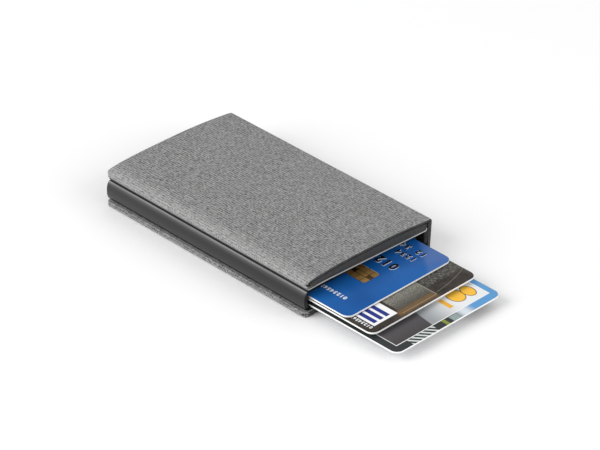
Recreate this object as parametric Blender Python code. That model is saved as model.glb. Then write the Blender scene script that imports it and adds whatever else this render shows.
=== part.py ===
"""Card wallet: an aluminium card case glued into a fabric book cover, with a stepped lever
that fans the cards out of its mouth.

Metres, +Z up. The mouth faces -Y, the lever's trigger +Y, the cover's spine is at +X and the
open side, where the case shows, at -X. The origin is the middle of the cover's underside.
The cards stand fanned out, so the lever is at the pushed end of its swing.
"""

import math

import bmesh
import bpy
from mathutils import Matrix, Vector

# Cards, to the ISO 7810 size
CARD_LENGTH = 0.0856
CARD_WIDTH = 0.05398
CARD_THICKNESS = 0.00076
CARD_CORNER_RADIUS = 0.00318
CHIP_LENGTH = 0.0106
CHIP_WIDTH = 0.0084
CHIP_THICKNESS = 0.0002
CHIP_CORNER_RADIUS = 0.0013
CHIP_FROM_END = 0.0167
CHIP_FROM_SIDE = 0.0240
CHIP_POCKET_DEPTH = 0.00045
CHIP_CLEARANCE = 0.0002

# Places of the cards in the case, counted from the bottom
CARD_SLOTS = 5
BOTTOM_CARD_SLOT = 0
MIDDLE_CARD_SLOT = 2
TOP_CARD_SLOT = 3
SLOT_GAP = 0.0004
CARD_FLOOR_CLEARANCE = 0.0003
HEAD_ROOM = 0.0005
CARD_SIDE_CLEARANCE = 0.0009
MOUTH_SETBACK = 0.0020

# Case extrusion
CASE_WALL = 0.0009
CASE_SIDE_WALL = 0.00225
CASE_SIDE_ROUNDING = 0.0024
CASE_SIDE_POWER = 2.4
CASE_BORE_RADIUS = 0.0004
CASE_END_BREAK = 0.00015
CASE_SIDE_STEPS = 15

# Guide rail and its felt strip, on the spine side of the cards
RAIL_WIDTH = 0.0030
RAIL_WALL = 0.0009
RAIL_SETBACK = 0.0035
RAIL_TO_HUB = 0.0010
RAIL_RIB_COUNT = 5
RAIL_RIB = 0.0010
FELT_THICKNESS = 0.0006
FELT_EDGE_RADIUS = 0.0002
FELT_CLEARANCE = 0.0003
FELT_END_GAP = 0.0010

# Ejector lever: three arms, one over the other, on one hub
LEVER_SWING = math.radians(60)
HUB_RADIUS = 0.0035
PIVOT_INSET = 0.0066
PIVOT_SETBACK = 0.0130
TIP_RADIUS = 0.0020
TIP_CLEARANCE = 0.0032
ARM_SIDE_CLEARANCE = 0.0005
ARM_GAP = 0.00035
TOP_REACH = 0.0231
MIDDLE_REACH = 0.0368
STROKE_TO_REACH_SHARE = 0.90
ARM_ROOT_RADIUS = 0.0032
TRIGGER_STAND_OUT = 0.0031
TRIGGER_RADIUS = 0.0022
TRIGGER_HEIGHT = 0.0034
TRIGGER_ANGLE = math.radians(76)
GRIP_GROOVES = 3
GRIP_GROOVE_RADIUS = 0.0003
GRIP_GROOVE_STEP = math.radians(28)
RIVET_RADIUS = 0.0010
RIVET_CLEARANCE = 0.0001
RIVET_HOLE_CLEARANCE = 0.00025
RIVET_HEAD_SETBACK = 0.0002

# End cap that closes the rear of the case
CAP_WALL = 0.0014
CAP_SKIRT_DEPTH = 0.0030
CAP_SKIRT_WALL = 0.0008
CAP_SLOT_CLEARANCE = 0.0004

# Cover of fabric, board and lining
SEAM_GAP = 0.00025
COVER_OVERHANG = 0.0005
FABRIC = 0.0005
BACK_BOARD = 0.0007
BACK_LINING = 0.0004
ADHESIVE = 0.0005
NOSE_SETBACK = 0.0006
BACK_NOSE_STAND_OUT = 0.0003
COVER_CORNER_RADIUS = 0.0022
TURN_IN = 0.0050
BOARD_END_GAP = 0.0005
SPINE_LINING = 0.0004
FLAP_LINING = 0.0004
FLAP_BOARD = 0.0006
FLAP_NOSE_RADIUS = 0.00135
ARCH_RADIUS = 0.270
ARCH_CROWN_X = -0.0028
FOLD_RADIUS = 0.0014
SPINE_CORNER_RADIUS = 0.0010
PADDING_END_SETBACK = 0.0010
LINING_END_SETBACK = 0.0003
LINING_CURL_RADIUS = 0.0010
LINING_NOSE_SETBACK = 0.0011
PAD_MARGIN = 0.0060
PAD_CORNER_RADIUS = 0.0010

# Smoothness of the curved outlines
ARC_STEPS = 6
SMALL_ARC_STEPS = 2
ARCH_STEPS = 20
ROUND_STEPS = 24
CUT_OVERRUN = 0.0010
SMOOTH_ANGLE = math.radians(35)

# Case, worked out from the cards and what stands beside them
SLOT_PITCH = CARD_THICKNESS + SLOT_GAP
CASE_HEIGHT = 2 * CASE_WALL + CARD_FLOOR_CLEARANCE + CARD_SLOTS * SLOT_PITCH + HEAD_ROOM
FELT_SPACE = FELT_CLEARANCE + FELT_THICKNESS + SEAM_GAP
INNER_WIDTH = CARD_SIDE_CLEARANCE + CARD_WIDTH + FELT_SPACE + RAIL_WIDTH + SEAM_GAP
CASE_WIDTH = INNER_WIDTH + 2 * CASE_SIDE_WALL
CASE_LENGTH = MOUTH_SETBACK + CARD_LENGTH + TIP_CLEARANCE + TIP_RADIUS + PIVOT_SETBACK
CASE_FRONT = -CASE_LENGTH / 2
CASE_REAR = CASE_LENGTH / 2

# Layers from the bench up
BOARD_Z = FABRIC + SEAM_GAP
LINING_Z = BOARD_Z + BACK_BOARD + SEAM_GAP
CASE_Z = LINING_Z + FABRIC + SEAM_GAP
INNER_BOTTOM = CASE_Z + CASE_WALL
INNER_TOP = CASE_Z + CASE_HEIGHT - CASE_WALL
CASE_TOP = CASE_Z + CASE_HEIGHT
FLAP_Z = CASE_TOP + SEAM_GAP
TURN_IN_Z = FLAP_Z + FLAP_LINING + SEAM_GAP

# Places across the wallet
SPINE_STACK = SEAM_GAP + SPINE_LINING + SEAM_GAP + FABRIC
CASE_LEFT = -(CASE_WIDTH + SPINE_STACK) / 2
CASE_RIGHT = CASE_LEFT + CASE_WIDTH
INNER_LEFT = CASE_LEFT + CASE_SIDE_WALL
INNER_RIGHT = CASE_RIGHT - CASE_SIDE_WALL
SPINE_OUTER = CASE_RIGHT + SPINE_STACK
LINING_RIGHT = CASE_RIGHT
COVER_NOSE = CASE_LEFT + NOSE_SETBACK
BACK_NOSE = CASE_LEFT - BACK_NOSE_STAND_OUT
CARD_LEFT = INNER_LEFT + CARD_SIDE_CLEARANCE
CARD_MIDDLE = CARD_LEFT + CARD_WIDTH / 2
CARD_RIGHT = CARD_LEFT + CARD_WIDTH
COVER_HALF = CASE_LENGTH / 2 + COVER_OVERHANG

# Lever geometry
PIVOT_X = INNER_RIGHT - PIVOT_INSET
PIVOT_Y = CASE_REAR - PIVOT_SETBACK
BOTTOM_REACH = PIVOT_X - INNER_LEFT - ARM_SIDE_CLEARANCE - TIP_RADIUS
REACHES = {"bottom": BOTTOM_REACH, "middle": MIDDLE_REACH, "top": TOP_REACH}
TRIGGER_REACH = PIVOT_SETBACK + TRIGGER_STAND_OUT
RETRACTED_FRONT = CASE_FRONT + MOUTH_SETBACK

# Arch of the flap, a circle that the nose and the fold touch from inside
ARCH_CENTRE_Z = (
    TURN_IN_Z + FLAP_NOSE_RADIUS
    - math.sqrt((ARCH_RADIUS - FLAP_NOSE_RADIUS) ** 2
                - (ARCH_CROWN_X - COVER_NOSE - FLAP_NOSE_RADIUS) ** 2)
)
FOLD_CENTRE_X = SPINE_OUTER - FOLD_RADIUS
FOLD_CENTRE_Z = ARCH_CENTRE_Z + math.sqrt(
    (ARCH_RADIUS - FOLD_RADIUS) ** 2 - (FOLD_CENTRE_X - ARCH_CROWN_X) ** 2
)
FLAP_AXIS_Z = FOLD_CENTRE_Z + FOLD_RADIUS


def slot_z(slot):
    """Underside of the card in a place of the stack."""
    return INNER_BOTTOM + CARD_FLOOR_CLEARANCE + slot * SLOT_PITCH


def stroke(which):
    """How far the lever pushes a card in its whole swing."""
    return STROKE_TO_REACH_SHARE * REACHES[which]


def material(name, colour, roughness, metallic=0.0):
    """A Principled material of one colour."""
    made = bpy.data.materials.new(name)
    made.use_nodes = True
    shader = made.node_tree.nodes["Principled BSDF"]
    shader.inputs["Base Color"].default_value = (*colour, 1.0)
    shader.inputs["Roughness"].default_value = roughness
    shader.inputs["Metallic"].default_value = metallic
    return made


def finish(name, mesh_data, look, smooth=True):
    """Close a bmesh into a named object with its faces pointing out."""
    bmesh.ops.recalc_face_normals(mesh_data, faces=mesh_data.faces)
    mesh = bpy.data.meshes.new(name)
    mesh_data.to_mesh(mesh)
    mesh_data.free()
    if smooth:
        mesh.shade_smooth()
        mesh.set_sharp_from_angle(angle=SMOOTH_ANGLE)
    made = bpy.data.objects.new(name, mesh)
    if look is not None:
        mesh.materials.append(look)
    bpy.context.scene.collection.objects.link(made)
    return made


def guide(made):
    """Mark an object as a cutter or a shape that another one takes up."""
    made.hide_render = True
    made.display_type = "WIRE"
    return made


def combine(target, tool, operation):
    """Cut a guide out of an object, or join the guide to it."""
    step = target.modifiers.new(operation.lower(), "BOOLEAN")
    step.operation = operation
    step.solver = "EXACT"
    step.object = guide(tool)


def skin_rings(mesh_data, rings):
    """Join rings of points into one closed body with an end face on each end."""
    loops = [[mesh_data.verts.new(point) for point in ring] for ring in rings]
    count = len(loops[0])
    for near, far in zip(loops, loops[1:]):
        for i in range(count):
            j = (i + 1) % count
            mesh_data.faces.new((near[i], near[j], far[j], far[i]))
    mesh_data.faces.new(loops[0])
    mesh_data.faces.new(loops[-1])


def loft(name, rings, look):
    """A closed body through rings of points."""
    mesh_data = bmesh.new()
    skin_rings(mesh_data, rings)
    return finish(name, mesh_data, look)


def prism(name, outline, low, high, look, smooth=True):
    """An outline in plan, raised between two heights."""
    rings = [[(x, y, z) for x, y in outline] for z in (low, high)]
    mesh_data = bmesh.new()
    skin_rings(mesh_data, rings)
    return finish(name, mesh_data, look, smooth)


def bar(name, outline, rear, front, look):
    """A cross-section in X and Z, drawn out along Y."""
    rings = [[(x, y, z) for x, z in outline] for y in (rear, front)]
    return loft(name, rings, look)


def arc(centre, radius, start, end, steps):
    """Points of a circle from one angle to another, both ends included."""
    return [
        (centre[0] + radius * math.cos(start + (end - start) * i / steps),
         centre[1] + radius * math.sin(start + (end - start) * i / steps))
        for i in range(steps + 1)
    ]


def rounded_box(left, right, low, high, radius, steps=ARC_STEPS):
    """A rectangle with round corners, counter-clockwise from its right side."""
    quarter = math.pi / 2
    corners = (
        (right - radius, high - radius, 0.0),
        (left + radius, high - radius, quarter),
        (left + radius, low + radius, 2 * quarter),
        (right - radius, low + radius, 3 * quarter),
    )
    points = []
    for x, y, start in corners:
        points += arc((x, y), radius, start, start + quarter, steps)
    return points


def tapered_arm(length, angle, root_radius, tip_radius):
    """Plan of an arm from a hub at the origin: two circles and their common tangents."""
    lean = math.acos((root_radius - tip_radius) / length)
    tip = (length * math.cos(angle), length * math.sin(angle))
    points = arc(tip, tip_radius, angle - lean, angle + lean, 2 * ARC_STEPS)
    points += arc((0.0, 0.0), root_radius, angle + lean, angle - lean + 2 * math.pi, 2 * ARC_STEPS)
    return points


def offset_path(path, distance):
    """Path moved to the left of its own direction."""
    moved = []
    for i, point in enumerate(path):
        before = Vector(path[max(i - 1, 0)])
        after = Vector(path[min(i + 1, len(path) - 1)])
        along = (after - before).normalized()
        moved.append((point[0] - along.y * distance, point[1] + along.x * distance))
    return moved


def half_length_at(x, nose, half, radius):
    """Half the length of a cover layer at a place across it, with its nose corners rounded."""
    into = radius - (x - nose)
    if into <= 0.0:
        return half
    return half - radius + math.sqrt(max(radius ** 2 - into ** 2, 0.0))


def layer(name, path, thickness, half, look, nose=None):
    """A layer of the cover: a path in X and Z given a thickness to its left."""
    inner = offset_path(path, thickness)
    rings = []
    for (outer_x, outer_z), (inner_x, inner_z) in zip(path, inner):
        reach = half if nose is None else half_length_at(outer_x, nose, half, COVER_CORNER_RADIUS)
        rings.append([
            (outer_x, -reach, outer_z),
            (outer_x, reach, outer_z),
            (inner_x, reach, inner_z),
            (inner_x, -reach, inner_z),
        ])
    return loft(name, rings, look)


def corner_stations(nose, start):
    """Places across a layer, close together round its nose corners, out to its start."""
    near = [
        nose + COVER_CORNER_RADIUS * (1 - math.cos(math.pi / 2 * i / ARC_STEPS))
        for i in range(ARC_STEPS + 1)
    ]
    return [start] + near[::-1]


def case_outline(shrink=0.0):
    """Outside of the extrusion: flat top and bottom, bulged sides."""
    half_height = CASE_HEIGHT / 2 - shrink
    middle_z = CASE_Z + CASE_HEIGHT / 2
    points = []
    for side in (1, -1):
        edge = (CASE_RIGHT if side > 0 else CASE_LEFT) - side * CASE_SIDE_ROUNDING
        bulge = CASE_SIDE_ROUNDING - shrink
        for i in range(CASE_SIDE_STEPS + 1):
            turn = -math.pi / 2 + math.pi * i / CASE_SIDE_STEPS
            across = bulge * math.cos(turn) ** (2 / CASE_SIDE_POWER)
            rise = math.copysign(abs(math.sin(turn)) ** (2 / CASE_SIDE_POWER), turn)
            points.append((edge + side * across, middle_z + side * half_height * rise))
    return points


def case_bore():
    """Inside of the extrusion, with as many points as the outside."""
    quarter = math.pi / 2
    steps = (CASE_SIDE_STEPS - 1) // 2
    corners = (
        (INNER_RIGHT - CASE_BORE_RADIUS, INNER_BOTTOM + CASE_BORE_RADIUS, -quarter),
        (INNER_RIGHT - CASE_BORE_RADIUS, INNER_TOP - CASE_BORE_RADIUS, 0.0),
        (INNER_LEFT + CASE_BORE_RADIUS, INNER_TOP - CASE_BORE_RADIUS, quarter),
        (INNER_LEFT + CASE_BORE_RADIUS, INNER_BOTTOM + CASE_BORE_RADIUS, 2 * quarter),
    )
    points = []
    for x, z, start in corners:
        points += arc((x, z), CASE_BORE_RADIUS, start, start + quarter, steps)
    return points


def make_case_shell(look):
    """Aluminium tube with broken end edges and the two rivet holes."""
    stations = [
        (CASE_FRONT, CASE_END_BREAK),
        (CASE_FRONT + CASE_END_BREAK, 0.0),
        (CASE_REAR - CASE_END_BREAK, 0.0),
        (CASE_REAR, CASE_END_BREAK),
    ]
    mesh_data = bmesh.new()
    outer = [
        [mesh_data.verts.new((x, y, z)) for x, z in case_outline(shrink)] for y, shrink in stations
    ]
    inner = [[mesh_data.verts.new((x, y, z)) for x, z in case_bore()] for y, _ in stations]
    walls = outer + inner[::-1]
    count = len(walls[0])
    for near, far in zip(walls, walls[1:] + walls[:1]):
        for i in range(count):
            j = (i + 1) % count
            mesh_data.faces.new((near[i], near[j], far[j], far[i]))
    shell = finish("case_shell", mesh_data, look)
    hole = rivet_body("rivet_hole", RIVET_RADIUS + RIVET_HOLE_CLEARANCE,
                      CASE_Z - CUT_OVERRUN, CASE_TOP + CUT_OVERRUN, None)
    combine(shell, hole, "DIFFERENCE")
    return shell


def rivet_body(name, radius, low, high, look):
    """A round body standing on the pivot axis."""
    circle = arc((0.0, 0.0), radius, 0.0, 2 * math.pi, ROUND_STEPS)[:-1]
    made = prism(name, circle, low, high, look)
    made.location = (PIVOT_X, PIVOT_Y, 0.0)
    return made


def make_pivot_rivet(look):
    """Steel rivet through both walls of the case, which carries the lever."""
    return rivet_body("pivot_rivet", RIVET_RADIUS, CASE_Z + RIVET_HEAD_SETBACK,
                      CASE_TOP - RIVET_HEAD_SETBACK, look)


def make_ejector_lever(look):
    """Stepped lever: the longest arm lies lowest, and each arm pushes one card."""
    low = slot_z(BOTTOM_CARD_SLOT)
    tops = {
        "bottom": slot_z(MIDDLE_CARD_SLOT) - ARM_GAP,
        "middle": slot_z(TOP_CARD_SLOT) - ARM_GAP,
        "top": slot_z(CARD_SLOTS - 1) + CARD_THICKNESS,
    }
    lever = None
    for which, top in tops.items():
        plan = tapered_arm(REACHES[which], math.pi, ARM_ROOT_RADIUS, TIP_RADIUS)
        name = "ejector_lever" if lever is None else "lever_arm_" + which
        step = prism(name, plan, low, top, look)
        if lever is None:
            lever = step
        else:
            combine(lever, step, "UNION")
            step.parent = lever
    hub = prism("lever_hub", arc((0.0, 0.0), HUB_RADIUS, 0.0, 2 * math.pi, ROUND_STEPS)[:-1],
                low, tops["top"], look)
    trigger_top = tops["top"] - ARM_GAP
    trigger = prism("lever_trigger",
                    tapered_arm(TRIGGER_REACH, TRIGGER_ANGLE, ARM_ROOT_RADIUS, TRIGGER_RADIUS),
                    trigger_top - TRIGGER_HEIGHT, trigger_top, look)
    for part in (hub, trigger):
        combine(lever, part, "UNION")
        part.parent = lever
    bore = prism("lever_bore",
                 arc((0.0, 0.0), RIVET_RADIUS + RIVET_CLEARANCE, 0.0, 2 * math.pi,
                     ROUND_STEPS)[:-1],
                 low - CUT_OVERRUN, tops["top"] + CUT_OVERRUN, None)
    combine(lever, bore, "DIFFERENCE")
    bore.parent = lever
    for i in range(GRIP_GROOVES):
        turn = TRIGGER_ANGLE + (i - (GRIP_GROOVES - 1) / 2) * GRIP_GROOVE_STEP
        x = TRIGGER_REACH * math.cos(TRIGGER_ANGLE) + TRIGGER_RADIUS * math.cos(turn)
        y = TRIGGER_REACH * math.sin(TRIGGER_ANGLE) + TRIGGER_RADIUS * math.sin(turn)
        groove = prism("grip_groove_%d" % i,
                       arc((x, y), GRIP_GROOVE_RADIUS, 0.0, 2 * math.pi, 2 * ARC_STEPS)[:-1],
                       low, tops["top"], None)
        combine(lever, groove, "DIFFERENCE")
        groove.parent = lever
    lever.location = (PIVOT_X, PIVOT_Y, 0.0)
    lever.rotation_euler = (0.0, 0.0, LEVER_SWING)
    return lever


def make_end_cap(look):
    """Plastic cap in the rear end, with a skirt along the walls and the trigger's slot."""
    left = INNER_LEFT + SEAM_GAP
    right = INNER_RIGHT - SEAM_GAP
    low = INNER_BOTTOM + SEAM_GAP
    high = INNER_TOP - SEAM_GAP
    outside = rounded_box(left, right, low, high, CASE_BORE_RADIUS)
    cap = bar("end_cap", outside, CASE_REAR, CASE_REAR - CAP_WALL - CAP_SKIRT_DEPTH, look)
    inside = rounded_box(left + CAP_SKIRT_WALL, right - CAP_SKIRT_WALL,
                         low + CAP_SKIRT_WALL, high - CAP_SKIRT_WALL, CASE_BORE_RADIUS)
    pocket = bar("cap_pocket", inside, CASE_REAR - CAP_WALL,
                 CASE_REAR - CAP_WALL - CAP_SKIRT_DEPTH - CUT_OVERRUN, None)
    combine(cap, pocket, "DIFFERENCE")
    trigger_top = slot_z(CARD_SLOTS - 1) + CARD_THICKNESS - ARM_GAP
    to_wall = PIVOT_SETBACK - CAP_WALL - CAP_SKIRT_DEPTH
    to_face = PIVOT_SETBACK
    half_width = ARM_ROOT_RADIUS + CAP_SLOT_CLEARANCE
    first = TRIGGER_ANGLE
    last = TRIGGER_ANGLE + LEVER_SWING
    slot_right = PIVOT_X + to_face / math.tan(first) + half_width / math.sin(first)
    slot_left = PIVOT_X + to_face / math.tan(last) - half_width / math.sin(last)
    slot = bar("cap_slot",
               rounded_box(slot_left, min(slot_right, right - CAP_SKIRT_WALL / 2),
                           trigger_top - TRIGGER_HEIGHT - CAP_SLOT_CLEARANCE,
                           trigger_top + CAP_SLOT_CLEARANCE, CAP_SLOT_CLEARANCE),
               CASE_REAR + CUT_OVERRUN, PIVOT_Y + to_wall - CUT_OVERRUN, None)
    combine(cap, slot, "DIFFERENCE")
    return cap


def make_guide_rail(look):
    """Rail that fills the case beside the cards, with pockets between ribs on its far side."""
    left = CARD_RIGHT + FELT_SPACE
    right = INNER_RIGHT - SEAM_GAP
    low = INNER_BOTTOM + SEAM_GAP
    high = INNER_TOP - SEAM_GAP
    front = CASE_FRONT + RAIL_SETBACK
    rear = PIVOT_Y - HUB_RADIUS - RAIL_TO_HUB
    rail = bar("guide_rail", [(left, low), (right, low), (right, high), (left, high)],
               rear, front, look)
    pitch = (rear - front - RAIL_RIB) / (RAIL_RIB_COUNT - 1)
    for i in range(RAIL_RIB_COUNT - 1):
        start = front + i * pitch + RAIL_RIB
        pocket = bar("rail_pocket_%d" % i,
                     [(left + RAIL_WALL, low + RAIL_WALL),
                      (right + CUT_OVERRUN, low + RAIL_WALL),
                      (right + CUT_OVERRUN, high - RAIL_WALL),
                      (left + RAIL_WALL, high - RAIL_WALL)],
                     start + pitch - RAIL_RIB, start, None)
        combine(rail, pocket, "DIFFERENCE")
    return rail


def make_felt_strip(look):
    """Felt between the rail and the cards' edges, which holds the cards where they stand."""
    left = CARD_RIGHT + FELT_CLEARANCE
    front = CASE_FRONT + RAIL_SETBACK + FELT_END_GAP
    rear = PIVOT_Y - HUB_RADIUS - RAIL_TO_HUB - FELT_END_GAP
    outline = rounded_box(left, left + FELT_THICKNESS, front, rear, FELT_EDGE_RADIUS,
                          SMALL_ARC_STEPS)
    return prism("felt_strip", outline, INNER_BOTTOM + RAIL_WALL, INNER_TOP - RAIL_WALL, look)


def make_card(which, slot, chip_at_front, card_look, chip_look):
    """A card with a milled pocket and the chip module in it."""
    bottom = slot_z(slot)
    top = bottom + CARD_THICKNESS
    front = RETRACTED_FRONT - stroke(which)
    outline = rounded_box(-CARD_WIDTH / 2, CARD_WIDTH / 2, 0.0, CARD_LENGTH, CARD_CORNER_RADIUS)
    card = prism("card_" + which, outline, bottom, top, card_look)
    chip_y = CHIP_FROM_END if chip_at_front else CARD_LENGTH - CHIP_FROM_END
    from_side = CHIP_FROM_SIDE if chip_at_front else CARD_WIDTH - CHIP_FROM_SIDE
    chip_x = from_side - CARD_WIDTH / 2
    plan = rounded_box(chip_x - CHIP_WIDTH / 2, chip_x + CHIP_WIDTH / 2,
                       chip_y - CHIP_LENGTH / 2, chip_y + CHIP_LENGTH / 2, CHIP_CORNER_RADIUS)
    chip = prism("chip_" + which, plan, top - CHIP_THICKNESS, top, chip_look)
    grow = CHIP_CLEARANCE
    hole = rounded_box(chip_x - CHIP_WIDTH / 2 - grow, chip_x + CHIP_WIDTH / 2 + grow,
                       chip_y - CHIP_LENGTH / 2 - grow, chip_y + CHIP_LENGTH / 2 + grow,
                       CHIP_CORNER_RADIUS + grow)
    pocket = prism("pocket_" + which, hole, top - CHIP_POCKET_DEPTH, top + CUT_OVERRUN, None)
    combine(card, pocket, "DIFFERENCE")
    card.location = (CARD_MIDDLE, front, 0.0)
    for rider in (chip, pocket):
        rider.parent = card
    return card


def make_back_panel(fabric, board, lining, glue):
    """Back of the cover: fabric round a board, turned in under a lining, and the glue pad."""
    radius = LINING_Z / 2 + FABRIC / 2
    nose_centre = BACK_NOSE + radius
    quarter = math.pi / 2
    fold_x = SPINE_OUTER - SPINE_CORNER_RADIUS - SEAM_GAP
    path = [(x, 0.0) for x in corner_stations(BACK_NOSE, fold_x) if x > nose_centre]
    path += arc((nose_centre, radius), radius, -quarter, -3 * quarter, 2 * ARC_STEPS)
    path += [(x, 2 * radius) for x in corner_stations(BACK_NOSE, BACK_NOSE + TURN_IN)[::-1]
             if x > nose_centre]
    layer("back_fabric", path, -FABRIC, COVER_HALF, fabric, BACK_NOSE)

    board_nose = BACK_NOSE + FABRIC + SEAM_GAP
    board_path = [(x, BOARD_Z) for x in corner_stations(board_nose, LINING_RIGHT)]
    layer("back_board", board_path, -BACK_BOARD, COVER_HALF - BOARD_END_GAP, board, board_nose)

    lining_left = BACK_NOSE + TURN_IN + SEAM_GAP
    frame = prism("back_lining",
                  rounded_box(lining_left, LINING_RIGHT, BOARD_END_GAP - COVER_HALF,
                              COVER_HALF - BOARD_END_GAP, PAD_CORNER_RADIUS, SMALL_ARC_STEPS),
                  LINING_Z, LINING_Z + BACK_LINING, lining, False)
    pad = (lining_left + PAD_MARGIN, LINING_RIGHT - PAD_MARGIN,
           CASE_FRONT + PAD_MARGIN, CASE_REAR - PAD_MARGIN)
    window = rounded_box(pad[0] - SEAM_GAP, pad[1] + SEAM_GAP, pad[2] - SEAM_GAP,
                         pad[3] + SEAM_GAP, PAD_CORNER_RADIUS, SMALL_ARC_STEPS)
    combine(frame, prism("lining_window", window, LINING_Z - CUT_OVERRUN,
                         LINING_Z + CUT_OVERRUN, None, False), "DIFFERENCE")
    prism("adhesive_pad", rounded_box(*pad, PAD_CORNER_RADIUS, SMALL_ARC_STEPS),
          LINING_Z, LINING_Z + ADHESIVE, glue, False)


def make_spine(fabric, lining, fold):
    """Spine of the cover, rounded into the back panel, which swings out about its lower edge."""
    path = arc((SPINE_OUTER - SPINE_CORNER_RADIUS, SPINE_CORNER_RADIUS), SPINE_CORNER_RADIUS,
               -math.pi / 2, 0.0, ARC_STEPS)
    path.append((SPINE_OUTER, FOLD_CENTRE_Z - SEAM_GAP))
    outer = layer("spine_fabric", path, FABRIC, COVER_HALF, fabric)
    inner_face = CASE_RIGHT + SEAM_GAP
    half = COVER_HALF - BOARD_END_GAP
    inner = prism("spine_lining",
                  [(inner_face, -half), (inner_face + SPINE_LINING, -half),
                   (inner_face + SPINE_LINING, half), (inner_face, half)],
                  CASE_Z, FLAP_Z, lining, False)
    for piece in (outer, inner):
        hang(piece, fold)


def hang(piece, fold):
    """Parent a piece to its fold without moving it."""
    piece.parent = fold
    piece.matrix_parent_inverse = Matrix.Translation(fold.matrix_world.translation).inverted()


def arch_z(x, depth=0.0):
    """Height of the flap's arch, or of a surface that deep under it."""
    return ARCH_CENTRE_Z + math.sqrt((ARCH_RADIUS - depth) ** 2 - (x - ARCH_CROWN_X) ** 2)


def arch_path(first_x, last_x, depth, nose=None):
    """Points across the arch from the spine side to the nose side."""
    points = [first_x + (last_x - first_x) * i / ARCH_STEPS for i in range(ARCH_STEPS + 1)]
    if nose is not None:
        corner = [x for x in corner_stations(nose, first_x) if last_x < x < first_x]
        points = sorted(set(points + corner), reverse=True)
    return [(x, arch_z(x, depth)) for x in points]


def flap_outside():
    """Outer line of the flap: up from the fold, over the arch, round the nose and back under."""
    quarter = math.pi / 2
    fold_turn = math.atan2(FOLD_CENTRE_Z - ARCH_CENTRE_Z, FOLD_CENTRE_X - ARCH_CROWN_X)
    path = arc((FOLD_CENTRE_X, FOLD_CENTRE_Z), FOLD_RADIUS, 0.0, fold_turn, ARC_STEPS)
    nose_x = COVER_NOSE + FLAP_NOSE_RADIUS
    nose_z = TURN_IN_Z + FLAP_NOSE_RADIUS
    nose_turn = math.atan2(nose_z - ARCH_CENTRE_Z, nose_x - ARCH_CROWN_X)
    last_x = nose_x + FLAP_NOSE_RADIUS * math.cos(nose_turn)
    path += arch_path(path[-1][0], last_x, 0.0, COVER_NOSE)[1:-1]
    path += arc((nose_x, nose_z), FLAP_NOSE_RADIUS, nose_turn, 3 * quarter, 2 * ARC_STEPS)
    under = [x for x in corner_stations(COVER_NOSE, COVER_NOSE + TURN_IN)[::-1] if x > nose_x]
    return path + [(x, TURN_IN_Z) for x in under]


def make_padding(look):
    """Foam that fills the arch between the board and the lining."""
    depth = FABRIC + SEAM_GAP + FLAP_BOARD + SEAM_GAP
    right = LINING_RIGHT - FLAP_LINING - SEAM_GAP
    step_x = COVER_NOSE + TURN_IN + SEAM_GAP
    left = COVER_NOSE + COVER_CORNER_RADIUS
    low = TURN_IN_Z
    high_floor = TURN_IN_Z + FABRIC + SEAM_GAP
    radius = LINING_CURL_RADIUS - FLAP_LINING - SEAM_GAP
    section = [(left, high_floor), (step_x, high_floor), (step_x, low)]
    section += arc((right - radius, low + radius), radius, -math.pi / 2, 0.0, ARC_STEPS)
    section += arch_path(right, left, depth)
    return bar("flap_padding", section, COVER_HALF - PADDING_END_SETBACK,
               PADDING_END_SETBACK - COVER_HALF, look)


def make_flap(fabric, board, lining, padding, fold):
    """Flap of the cover: fabric over an arched board and foam, lined underneath."""
    outer = layer("flap_fabric", flap_outside(), FABRIC, COVER_HALF, fabric, COVER_NOSE)
    depth = FABRIC + SEAM_GAP
    board_nose = COVER_NOSE + depth
    arched = layer("flap_board",
                   arch_path(LINING_RIGHT, board_nose + FLAP_BOARD, depth, board_nose),
                   FLAP_BOARD, COVER_HALF - BOARD_END_GAP, board, board_nose)
    centre = (LINING_RIGHT - LINING_CURL_RADIUS, FLAP_Z + LINING_CURL_RADIUS)
    path = [(COVER_NOSE + LINING_NOSE_SETBACK, FLAP_Z)]
    path += arc(centre, LINING_CURL_RADIUS, -math.pi / 2, 0.0, ARC_STEPS)
    under = layer("flap_lining", path, FLAP_LINING, COVER_HALF - LINING_END_SETBACK, lining)
    for piece in (outer, arched, under, make_padding(padding)):
        hang(piece, fold)


def fold_at(name, z, parent=None):
    """Empty on a fold's axis along the spine's outer face."""
    made = bpy.data.objects.new(name, None)
    bpy.context.scene.collection.objects.link(made)
    made.location = (SPINE_OUTER, 0.0, z)
    if parent is not None:
        made.parent = parent
        made.matrix_parent_inverse = parent.matrix_world.inverted()
    bpy.context.view_layer.update()
    return made


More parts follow.
